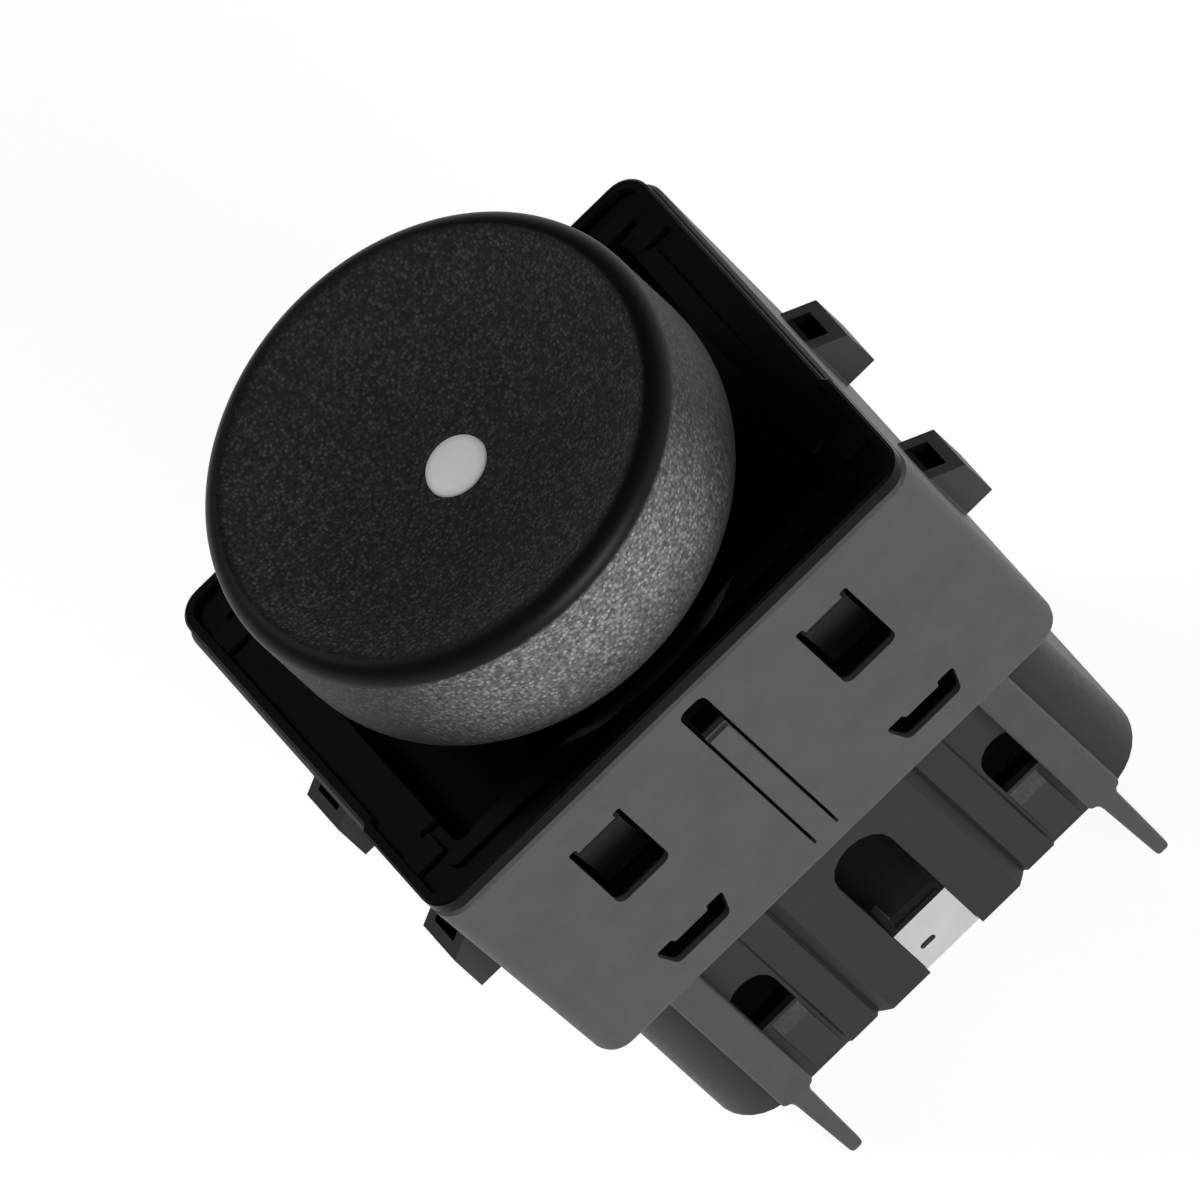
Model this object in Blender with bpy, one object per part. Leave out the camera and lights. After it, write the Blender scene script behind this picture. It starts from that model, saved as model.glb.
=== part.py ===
"""Door lock push switch: a round dished button in a square snap-together housing.

Frame: origin on the button's axis in the plane of the housing's top edge. +Z points out of
the panel, along the button's axis. The wall with the tongue and the two legs faces -Y.
All lengths are in metres; MM turns a value in millimetres into metres.
"""

from math import acos, atan2, cos, pi, radians, sin, tan

import bmesh
import bpy
from mathutils import Vector

MM = 0.001

# Clearances between pieces
GAP = 0.3 * MM
FINE_GAP = 0.15 * MM

# Sleeve housing
SLEEVE_WIDTH = 36.0 * MM
SLEEVE_DEPTH = 28.9 * MM
SLEEVE_HEIGHT = 19.1 * MM
SLEEVE_WALL = 1.5 * MM
SLEEVE_DRAFT = 0.5 * MM
SLEEVE_CORNER = 1.7 * MM
SLEEVE_EDGE = 0.5 * MM
SLEEVE_TOP_EDGE = 0.2 * MM

# Snap windows in the sleeve, their corner nicks and the bezel's hooks
WINDOW_OFFSET = 8.72 * MM
WINDOW_WIDTH = 3.9 * MM
WINDOW_TOP = 3.7 * MM
WINDOW_HEIGHT = 5.85 * MM
WINDOW_CORNER = 0.55 * MM
NICK_WIDTH = 0.55 * MM
NICK_RISE = 0.4 * MM
NICK_CORNER = 0.15 * MM
HOOK_REACH = 1.1 * MM
HOOK_FLAT = 0.8 * MM
HOOK_LEAD = 0.1 * MM

# Catch slots in the sleeve, their raised ends and the base's latches
SLOT_OFFSET = 8.9 * MM
SLOT_WIDTH = 5.0 * MM
SLOT_RISE = 2.35 * MM
SLOT_HEIGHT = 1.6 * MM
SLOT_EAR_WIDTH = 1.2 * MM
SLOT_EAR_RISE = 0.35 * MM
SLOT_TAPER = 0.5 * MM
SLOT_CORNER = 0.5 * MM
LATCH_WIDTH = 3.0 * MM
LATCH_THICK = 1.1 * MM
LATCH_NIB = 0.55 * MM
LATCH_RISE = 0.8 * MM
LATCH_ROOT = 0.3 * MM

# Tongue cut in the sleeve's front wall, with its relief opening above
TONGUE_WIDTH = 1.5 * MM
TONGUE_SLIT = 0.2 * MM
TONGUE_TOP = 4.25 * MM
TONGUE_FOOT = 1.6 * MM
TONGUE_LEAN = 0.3 * MM
TONGUE_FLUSH = 0.05 * MM
TONGUE_SIDE = 0.05 * MM
RELIEF_HEIGHT = 2.95 * MM
RELIEF_CORNER = 0.55 * MM

# Side tabs that hold the switch in its panel
TAB_OFFSET = 6.25 * MM
TAB_LENGTH = 3.4 * MM
TAB_REACH = 2.2 * MM
TAB_BOTTOM = 14.1 * MM
TAB_FACE = 3.2 * MM
TAB_RAMP = 1.5 * MM
TAB_ROOT = 0.9 * MM
TAB_WALL = 0.7 * MM
TAB_FLOOR = 0.8 * MM

# Legs in front of the connector, ending in locating pins
LEG_OFFSET = 11.87 * MM
LEG_WIDTH = 2.3 * MM
LEG_SETBACK = 0.6 * MM
LEG_ROOT = 1.8 * MM
LEG_LENGTH = 14.1 * MM
LEG_CORNER = 0.4 * MM
PIN_WIDTH = 1.2 * MM
PIN_DEPTH = 0.95 * MM
PIN_TIP = 0.72
PIN_FILLET = 0.9 * MM
PIN_LENGTH = 7.4 * MM

# Bezel frame
RIM_RISE = 0.9 * MM
RIM_WIDTH = 0.65 * MM
RIM_STEP = 0.3 * MM
RIM_STEP_AT = 6.3 * MM
RIM_CORNER = 1.7 * MM
RIM_EDGE = 0.15 * MM
RIM_SETBACK = 0.03 * MM
GROOVE_FLOOR = 0.45 * MM
TUB_RISE = 0.75 * MM
TUB_WALL = 1.2 * MM
TUB_DEPTH = 11.0 * MM
TUB_CORNER = 0.8 * MM
WELL_DEPTH = 3.4 * MM
WELL_FLOOR = 1.2 * MM
LUG_LENGTH = 1.6 * MM
LUG_REACH = 2.1 * MM
LUG_AT = 10.4 * MM
LUG_CLEAR = 0.4 * MM
LUG_SINK = 0.2 * MM
NOTCH_SINK = 0.06 * MM
ARM_SLIT = 0.6 * MM

# Button cap
CAP_RADIUS = 14.5 * MM
CAP_RIM_TOP = 13.4 * MM
CAP_DISH = 3.05 * MM
CAP_DISH_POWER = 2.2
CAP_CREST = 1.3 * MM
CAP_TURN = 6.0 * MM
CAP_BOTTOM = 2.3 * MM
CAP_TUCK = 2.45 * MM
CAP_WALL = 1.5 * MM
LIP_WIDTH = 0.9 * MM
COLLAR_WALL = 1.2 * MM
COLLAR_END = 3.0 * MM
BOSS_WALL = 1.3 * MM
BOSS_END = 5.5 * MM

# Indicator lens and its light pipe
LENS_RADIUS = 1.93 * MM
LENS_HEAD = 1.9 * MM
LENS_CROWN = 0.12 * MM
LENS_EDGE = 0.2 * MM
PIPE_RADIUS = 1.5 * MM
PIPE_END = 8.6 * MM

# Plunger, its guide in the bezel and the button's travel
TRAVEL = 1.8 * MM
PLUNGER_RADIUS = 7.3 * MM
PLUNGER_WALL = 1.1 * MM
PLUNGER_END = 9.5 * MM
WEB_UNDER = 1.2 * MM
WEB_THICK = 1.4 * MM
CORE_WALL = 1.4 * MM
CORE_END = 6.5 * MM
RIB_WIDTH = 2.0 * MM
RIB_RISE = 0.9 * MM
RIB_TOP = 1.0 * MM
ARM_OVERHANG = 1.3 * MM
ARM_WIDTH = 4.0 * MM
ARM_THICK = 1.2 * MM
PEG_RADIUS = 0.7 * MM
PEG_LENGTH = 0.8 * MM
GUIDE_PLAY = 0.4 * MM
GUIDE_WALL = 1.4 * MM
GUIDE_TOP = 0.2 * MM

# Contacts
BRIDGE_OFFSET = 9.6 * MM
BRIDGE_SPAN = 3.2 * MM
BRIDGE_WIDTH = 2.8 * MM
BRIDGE_END = 1.3 * MM
BRIDGE_THICK = 0.3 * MM
BRIDGE_CORNER = 1.0 * MM
CONTACT_RADIUS = 0.85 * MM
CONTACT_DEPTH = 0.6 * MM
CONTACT_GAP = 0.3 * MM
RIVET_RADIUS = 1.1 * MM
RIVET_SHANK = 0.55 * MM
RIVET_CROWN = 0.3 * MM

# Return spring
SPRING_RADIUS = 4.75 * MM
WIRE_RADIUS = 0.35 * MM
SPRING_TURNS = 6.5
DEAD_TURNS = 0.8
DEAD_PITCH = 0.75 * MM

# Contact carrier
CARRIER_THICK = 1.2 * MM
CARRIER_CORNER = 1.0 * MM
FOOT_WIDTH = 1.1 * MM
FOOT_LENGTH = 2.8 * MM
FOOT_SETBACK = 0.05 * MM
CUP_WALL = 1.0 * MM
CUP_RISE = 1.2 * MM

# Circuit board and what it carries
BOARD_THICK = 1.6 * MM
LED_RADIUS = 1.9 * MM
LED_HEIGHT = 4.1 * MM
LEAD_SIZE = 0.5 * MM
LEAD_PITCH = 1.8 * MM
RESISTOR_LENGTH = 3.2 * MM
RESISTOR_WIDTH = 1.6 * MM
RESISTOR_HEIGHT = 0.6 * MM
RESISTOR_EDGE = 0.1 * MM
RESISTOR_INSET = 2.4 * MM

# Terminal base with its connector shroud
SHROUD_INSET = 0.75 * MM
SHROUD_CORNER = 3.4 * MM
SHROUD_LENGTH = 16.0 * MM
SHROUD_WALL = 1.4 * MM
CHANNEL_WIDTH = 1.5 * MM
PARTITION_WALL = 1.0 * MM
PARTITION_SHORT = 0.15 * MM
BASE_RECESS = 0.4 * MM
BASE_FLOOR = 1.5 * MM
PANEL_HALF = 4.9 * MM
PANEL_RISE = 0.4 * MM
PANEL_BEVEL = 0.5 * MM
PANEL_CORNER = 0.2 * MM
SEAM_WIDTH = 0.45 * MM
SEAM_DEPTH = 0.22 * MM
RELIEF_FROM = 7.8 * MM
RELIEF_DEPTH = 0.15 * MM
ARCH_WIDTH = 4.05 * MM
ARCH_DROP = 3.0 * MM
PORT_OFFSET = 9.75 * MM
PORT_WIDTH = 3.2 * MM
PORT_DROP = 5.75 * MM
PORT_HEIGHT = 4.2 * MM
CATCH_OFFSET = 9.2 * MM
CATCH_WIDTH = 2.0 * MM
CATCH_RISE = 0.5 * MM
CATCH_FOOT = 0.15 * MM
CATCH_RAMP = 0.8 * MM

# Plated clip in the arch
CLIP_HEIGHT = 4.1 * MM
CLIP_RECESS = 0.1 * MM
CLIP_THICK = 0.4 * MM
CLIP_WING = 1.2 * MM
CLIP_WING_RISE = 1.0 * MM
CLIP_FLAP = 1.2 * MM
CLIP_HOLE_X = -0.75 * MM
CLIP_HOLE_RISE = 2.0 * MM
CLIP_HOLE_WIDTH = 0.9 * MM
CLIP_HOLE_HEIGHT = 0.45 * MM
CLIP_HOLE_CORNER = 0.2 * MM

# Blade terminals
COLUMNS = 3
BLADE_PITCH = 5.6 * MM
BLADE_ROW = 3.0 * MM
BLADE_WIDTH = 2.2 * MM
BLADE_THICK = 0.64 * MM
BLADE_REACH = 11.1 * MM
BLADE_TAPER = 0.9 * MM
TAIL_WIDTH = 0.9 * MM

# Facets of round forms
ROUND_STEPS = 60
TUBE_STEPS = 40
SMALL_STEPS = 14
LARGE_CORNER_STEPS = 8
CORNER_STEPS = 4
DISH_STEPS = 6
STEPS_PER_TURN = 14
WIRE_STEPS = 6

# Places that follow from the sizes above
HALF_X = SLEEVE_WIDTH / 2
HALF_Y = SLEEVE_DEPTH / 2
INNER_X = HALF_X - SLEEVE_DRAFT - SLEEVE_WALL
INNER_Y = HALF_Y - SLEEVE_WALL
SLEEVE_END = -SLEEVE_HEIGHT
SLOT_LOW = SLEEVE_END + SLOT_RISE
SLOT_HIGH = SLOT_LOW + SLOT_HEIGHT
TUB_HALF_X = INNER_X - GAP
TUB_HALF_Y = INNER_Y - GAP
WELL_HALF_X = TUB_HALF_X - TUB_WALL
WELL_HALF_Y = TUB_HALF_Y - TUB_WALL
HOOK_HALF = WINDOW_WIDTH / 2 - GAP
CAP_LIP = CAP_RADIUS - CAP_TUCK
DISH_CENTRE = CAP_RIM_TOP - CAP_DISH
LENS_BORE = LENS_RADIUS + FINE_GAP
COLLAR_RADIUS = PLUNGER_RADIUS + GAP
COLLAR_TOP = DISH_CENTRE - CAP_WALL
PLUNGER_TOP = COLLAR_TOP - GAP
PLUNGER_BORE = PLUNGER_RADIUS - PLUNGER_WALL
CORE_BORE = PIPE_RADIUS + GAP
GUIDE_RADIUS = PLUNGER_RADIUS + GUIDE_PLAY
ARM_TOP = -(PLUNGER_END - ARM_THICK)
ARM_REACH = BRIDGE_OFFSET + ARM_OVERHANG
GUIDE_END = ARM_TOP + GAP
BRIDGE_TOP = -PLUNGER_END - GAP
BRIDGE_LOW = BRIDGE_TOP - BRIDGE_THICK
CONTACT_END = BRIDGE_LOW - CONTACT_DEPTH
RIVET_TOP = CONTACT_END - TRAVEL - CONTACT_GAP
BASE_TOP = SLEEVE_END + BASE_RECESS
SOCKET_TOP = BASE_TOP - BASE_FLOOR
BOARD_END = BASE_TOP + GAP
BOARD_TOP = BOARD_END + BOARD_THICK
CARRIER_END = BOARD_TOP + GAP
CARRIER_TOP = CARRIER_END + CARRIER_THICK
CARRIER_HALF_X = INNER_X - 2 * GAP
CARRIER_HALF_Y = INNER_Y - LATCH_THICK - 3 * GAP
BOARD_HALF_X = CARRIER_HALF_X - FOOT_WIDTH - 2 * GAP
RESISTOR_AT = CARRIER_HALF_Y - RESISTOR_INSET
SHROUD_HALF_X = INNER_X - GAP
SHROUD_HALF_Y = INNER_Y - SHROUD_INSET
SHROUD_END = SLEEVE_END - SHROUD_LENGTH
SHROUD_FIELD = SHROUD_HALF_Y - RELIEF_DEPTH
SOCKET_HALF_X = SHROUD_HALF_X - SHROUD_WALL
SOCKET_HALF_Y = SHROUD_FIELD - SHROUD_WALL
PANEL_FACE = SHROUD_HALF_Y + PANEL_RISE
PORT_HIGH = SLEEVE_END - PORT_DROP
PORT_LOW = PORT_HIGH - PORT_HEIGHT
CLIP_TOP = SHROUD_END + GAP + CLIP_HEIGHT
BLADE_TIP = SOCKET_TOP - BLADE_REACH
LEG_FRONT = HALF_Y - LEG_SETBACK
LEG_BACK = SHROUD_FIELD + GAP
LEG_SHOULDER = SLEEVE_END - LEG_LENGTH
PIN_END = LEG_SHOULDER - PIN_LENGTH


def clear_scene():
    for old in list(bpy.data.objects):
        bpy.data.objects.remove(old, do_unlink=True)


def material(name, colour, roughness, metallic=0.0):
    mat = bpy.data.materials.get(name)
    if mat is None:
        mat = bpy.data.materials.new(name)
        mat.use_nodes = True
        shader = mat.node_tree.nodes["Principled BSDF"]
        shader.inputs["Base Color"].default_value = (*colour, 1.0)
        shader.inputs["Roughness"].default_value = roughness
        shader.inputs["Metallic"].default_value = metallic
    return mat


def finish(name, bm, mat=None, smooth=None, parent=None):
    """Turn a bmesh into a named object whose faces point out."""
    bmesh.ops.recalc_face_normals(bm, faces=bm.faces)
    mesh = bpy.data.meshes.new(name)
    bm.to_mesh(mesh)
    bm.free()
    if smooth is not None:
        mesh.shade_smooth()
        mesh.set_sharp_from_angle(angle=radians(smooth))
    obj = bpy.data.objects.new(name, mesh)
    bpy.context.scene.collection.objects.link(obj)
    if mat is not None:
        mesh.materials.append(mat)
    obj.parent = parent
    return obj


def combine(obj, bm, operation):
    """Join to obj, or cut from it, the closed bodies held in bm."""
    tool = finish(f"{obj.name}_{operation.lower()}_{len(obj.modifiers)}", bm)
    tool.hide_render = True
    tool.display_type = "WIRE"
    modifier = obj.modifiers.new(operation.title(), "BOOLEAN")
    modifier.operation = operation
    modifier.solver = "EXACT"
    modifier.object = tool


def loft(bm, rings, closed=False):
    """Skin rings of equally many points; closed joins the last ring to the first."""
    loops = [[bm.verts.new(point) for point in ring] for ring in rings]
    pairs = list(zip(loops, loops[1:]))
    if closed:
        pairs.append((loops[-1], loops[0]))
    for lower, upper in pairs:
        count = len(lower)
        for i in range(count):
            j = (i + 1) % count
            bm.faces.new((lower[i], lower[j], upper[j], upper[i]))
    if not closed:
        bm.faces.new(loops[0])
        bm.faces.new(loops[-1])


def extrude(bm, outline, axis, start, end):
    """Prism on an outline: (x, y) along Z, (x, z) along Y or (y, z) along X."""
    place = {"Z": lambda u, v, w: (u, v, w),
             "Y": lambda u, v, w: (u, w, v),
             "X": lambda u, v, w: (w, u, v)}[axis]
    loft(bm, [[place(u, v, w) for u, v in outline] for w in (start, end)])


def block(bm, x0, x1, y0, y1, z0, z1):
    extrude(bm, [(x0, y0), (x1, y0), (x1, y1), (x0, y1)], "Z", z0, z1)


def turn(bm, profile, steps, centre=(0.0, 0.0)):
    """Revolve a closed (radius, height) profile about a vertical axis."""
    rows = []
    for radius, height in profile:
        if radius <= 0:
            rows.append([bm.verts.new((centre[0], centre[1], height))])
            continue
        row = []
        for k in range(steps):
            angle = 2 * pi * k / steps
            row.append(bm.verts.new((centre[0] + radius * cos(angle),
                                     centre[1] + radius * sin(angle), height)))
        rows.append(row)
    for lower, upper in zip(rows, rows[1:] + rows[:1]):
        for k in range(steps):
            n = (k + 1) % steps
            if len(lower) == 1 and len(upper) == 1:
                break
            if len(lower) == 1:
                bm.faces.new((lower[0], upper[k], upper[n]))
            elif len(upper) == 1:
                bm.faces.new((lower[k], lower[n], upper[0]))
            else:
                bm.faces.new((lower[k], lower[n], upper[n], upper[k]))


def cylinder(bm, radius, z0, z1, steps, centre=(0.0, 0.0)):
    turn(bm, [(0, z0), (radius, z0), (radius, z1), (0, z1)], steps, centre)


def arc(u, v, radius_u, radius_v, start, end, steps):
    """Points on an elliptical arc about (u, v), angles in degrees."""
    angles = [radians(start + (end - start) * k / steps) for k in range(steps + 1)]
    return [(u + radius_u * cos(a), v + radius_v * sin(a)) for a in angles]


def fillet(corners, steps=CORNER_STEPS):
    """Outline through (u, v, radius) corners, each one rounded with its own radius."""
    outline = []
    for i, (u, v, radius) in enumerate(corners):
        if radius <= 0:
            outline.append((u, v))
            continue
        corner = Vector((u, v))
        back = (Vector(corners[i - 1][:2]) - corner)
        ahead = (Vector(corners[(i + 1) % len(corners)][:2]) - corner)
        half = acos(max(-1.0, min(1.0, back.normalized().dot(ahead.normalized())))) / 2
        reach = min(radius / tan(half), 0.49 * back.length, 0.49 * ahead.length)
        start = corner + back.normalized() * reach
        end = corner + ahead.normalized() * reach
        bisector = (back.normalized() + ahead.normalized()).normalized()
        centre = corner + bisector * reach / cos(half)
        first = atan2(start.y - centre.y, start.x - centre.x)
        sweep = atan2(end.y - centre.y, end.x - centre.x) - first
        sweep = (sweep + pi) % (2 * pi) - pi
        size = reach * tan(half)
        for k in range(steps + 1):
            angle = first + sweep * k / steps
            outline.append((centre.x + size * cos(angle), centre.y + size * sin(angle)))
    return outline


def rectangle(half_x, half_y, radius, centre=(0.0, 0.0), steps=CORNER_STEPS):
    u, v = centre
    corners = [(u - half_x, v - half_y, radius), (u + half_x, v - half_y, radius),
               (u + half_x, v + half_y, radius), (u - half_x, v + half_y, radius)]
    return fillet(corners, steps)


def arch(centre, width, bottom, top):
    """Upright (x, z) outline with a straight foot and a half-round head."""
    half = width / 2
    head = arc(centre, top - half, half, half, 0, 180, 2 * CORNER_STEPS)
    return [(centre - half, bottom), (centre + half, bottom)] + head


def sides(value):
    return (-value, value)


def quarter(size, steps):
    """Height and inset of the points of a round edge, from its side to its end."""
    turns = [radians(90 * k / steps) for k in range(steps + 1)]
    return [(size * (1 - sin(a)), size * (1 - cos(a))) for a in turns]


def sleeve_ring(z, inset):
    half_x = HALF_X - SLEEVE_DRAFT * -z / SLEEVE_HEIGHT - inset
    radius = max(SLEEVE_CORNER - inset, SLEEVE_EDGE)
    outline = rectangle(half_x, HALF_Y - inset, radius, steps=LARGE_CORNER_STEPS)
    return [(x, y, z) for x, y in outline]


def window_outline(centre):
    """Snap window whose upper corners have small relief nicks."""
    half = WINDOW_WIDTH / 2
    low = -WINDOW_TOP - WINDOW_HEIGHT
    top = -WINDOW_TOP
    tip = top + NICK_RISE
    nick = half - NICK_WIDTH
    return fillet([(centre - half, low, WINDOW_CORNER), (centre + half, low, WINDOW_CORNER),
                   (centre + half, tip, NICK_CORNER), (centre + nick, tip, NICK_CORNER),
                   (centre + nick, top, 0), (centre - nick, top, 0),
                   (centre - nick, tip, NICK_CORNER), (centre - half, tip, NICK_CORNER)], steps=3)


def slot_outline(centre):
    """Catch slot with round ends that rise above its middle."""
    half = SLOT_WIDTH / 2
    foot = half - SLOT_TAPER
    inner = half - SLOT_EAR_WIDTH
    tip = SLOT_HIGH + SLOT_EAR_RISE
    soft = SLOT_CORNER
    return fillet([(centre - foot, SLOT_LOW, soft), (centre + foot, SLOT_LOW, soft),
                   (centre + half, SLOT_HIGH, soft), (centre + half, tip, soft),
                   (centre + inner, tip, soft), (centre + inner, SLOT_HIGH, SLOT_EAR_RISE),
                   (centre - inner, SLOT_HIGH, SLOT_EAR_RISE), (centre - inner, tip, soft),
                   (centre - half, tip, soft), (centre - half, SLOT_HIGH, soft)], steps=3)


def leg_rings(centre):
    """Sections of a leg from inside the wall down to its pin's round tip."""
    leg = (LEG_WIDTH / 2, (LEG_FRONT - LEG_BACK) / 2, -(LEG_FRONT + LEG_BACK) / 2)
    pin = (PIN_WIDTH / 2, PIN_DEPTH / 2, -LEG_FRONT + PIN_DEPTH / 2)
    stations = [(SLEEVE_END + LEG_ROOT, *leg)]
    for k in range(CORNER_STEPS + 1):
        angle = radians(90 * k / CORNER_STEPS)
        section = [a + (b - a) * sin(angle) for a, b in zip(leg, pin)]
        stations.append((LEG_SHOULDER - PIN_FILLET * (1 - cos(angle)), *section))
    tip = PIN_TIP * PIN_WIDTH / 2
    for k in range(CORNER_STEPS):
        angle = radians(90 * k / CORNER_STEPS)
        share = PIN_TIP * cos(angle)
        stations.append((PIN_END + tip * (1 - sin(angle)), share * pin[0], share * pin[1], pin[2]))
    rings = []
    for z, half_x, half_y, mid_y in stations:
        corner = min(LEG_CORNER, half_x / 2, half_y / 2)
        outline = rectangle(half_x, half_y, corner, (centre, mid_y))
        rings.append([(x, y, z) for x, y in outline])
    return rings


def add_tabs(bm):
    """Four wedge tabs, two on each side wall."""
    wall = HALF_X - SLEEVE_DRAFT
    face = -TAB_BOTTOM + TAB_FACE
    ramp = TAB_RAMP * (TAB_REACH + TAB_ROOT) / TAB_REACH
    for side in (-1, 1):
        outer = side * (wall + TAB_REACH)
        inner = side * (wall - TAB_ROOT)
        outline = [(inner, -TAB_BOTTOM), (outer, -TAB_BOTTOM), (outer, face), (inner, face + ramp)]
        for y in sides(TAB_OFFSET):
            extrude(bm, outline, "Y", y - TAB_LENGTH / 2, y + TAB_LENGTH / 2)


def cut_tabs(bm):
    """Pockets that open through each tab's ramp."""
    end = HALF_X - SLEEVE_DRAFT + TAB_REACH - TAB_WALL
    low = -TAB_BOTTOM + TAB_FLOOR
    high = low + TAB_FACE + 2 * TAB_RAMP
    half = TAB_LENGTH / 2 - TAB_WALL
    for side in (-1, 1):
        x0, x1 = sorted((side * HALF_X, side * end))
        for y in sides(TAB_OFFSET):
            block(bm, x0, x1, y - half, y + half, low, high)


def make_sleeve():
    """Open-ended square sleeve with its windows, slots, tongue, side tabs and legs."""
    bottom = [sleeve_ring(SLEEVE_END + rise, inset) for rise, inset in quarter(SLEEVE_EDGE, 3)]
    top = [sleeve_ring(-GAP, SLEEVE_WALL), sleeve_ring(-GAP, SLEEVE_TOP_EDGE),
           sleeve_ring(-GAP - SLEEVE_TOP_EDGE, 0)]
    bm = bmesh.new()
    loft(bm, bottom + [sleeve_ring(SLEEVE_END, SLEEVE_WALL)] + top, closed=True)
    sleeve = finish("sleeve_housing", bm, GREY_SHELL, smooth=40)

    bm = bmesh.new()
    add_tabs(bm)
    for x in sides(LEG_OFFSET):
        loft(bm, leg_rings(x))
    root = SLEEVE_END + TONGUE_FOOT
    middle = -HALF_Y + SLEEVE_WALL / 2
    rib = [(-HALF_Y - TONGUE_LEAN, -TONGUE_TOP - TONGUE_SLIT), (middle, -TONGUE_TOP),
           (middle, root), (-HALF_Y + TONGUE_FLUSH, root)]
    half_rib = TONGUE_WIDTH / 2 - TONGUE_SIDE
    extrude(bm, rib, "X", -half_rib, half_rib)
    combine(sleeve, bm, "UNION")

    bm = bmesh.new()
    cut_tabs(bm)
    for side in (-1, 1):
        y0, y1 = sorted((side * (INNER_Y - SLEEVE_WALL), side * (HALF_Y + SLEEVE_WALL)))
        for x in sides(WINDOW_OFFSET):
            extrude(bm, window_outline(x), "Y", y0, y1)
        for x in sides(SLOT_OFFSET):
            extrude(bm, slot_outline(x), "Y", y0, y1)
    half = TONGUE_WIDTH / 2
    wide = half + TONGUE_SLIT
    relief_top = -TONGUE_TOP + RELIEF_HEIGHT
    tongue = fillet([(-wide, root, 0), (-half, root, 0), (-half, -TONGUE_TOP, 0),
                     (half, -TONGUE_TOP, 0), (half, root, 0), (wide, root, 0),
                     (wide, relief_top, RELIEF_CORNER), (-wide, relief_top, RELIEF_CORNER)])
    extrude(bm, tongue, "Y", -HALF_Y - SLEEVE_WALL, -INNER_Y + SLEEVE_WALL)
    combine(sleeve, bm, "DIFFERENCE")


def bezel_outline(inset):
    """Rim outline, a little wider over the front part of each side."""
    front = HALF_X - RIM_SETBACK - inset
    rear = front - RIM_STEP
    deep = HALF_Y - RIM_SETBACK - inset
    radius = max(RIM_CORNER - inset, RIM_STEP)
    step_end = -RIM_STEP_AT + RIM_STEP
    return fillet([(-front, -deep, radius), (front, -deep, radius), (front, -RIM_STEP_AT, 0),
                   (rear, step_end, 0), (rear, deep, radius), (-rear, deep, radius),
                   (-rear, step_end, 0), (-front, -RIM_STEP_AT, 0)], LARGE_CORNER_STEPS)


def lug_places():
    for side in (-1, 1):
        for y in sides(LUG_AT):
            yield side, y


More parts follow.
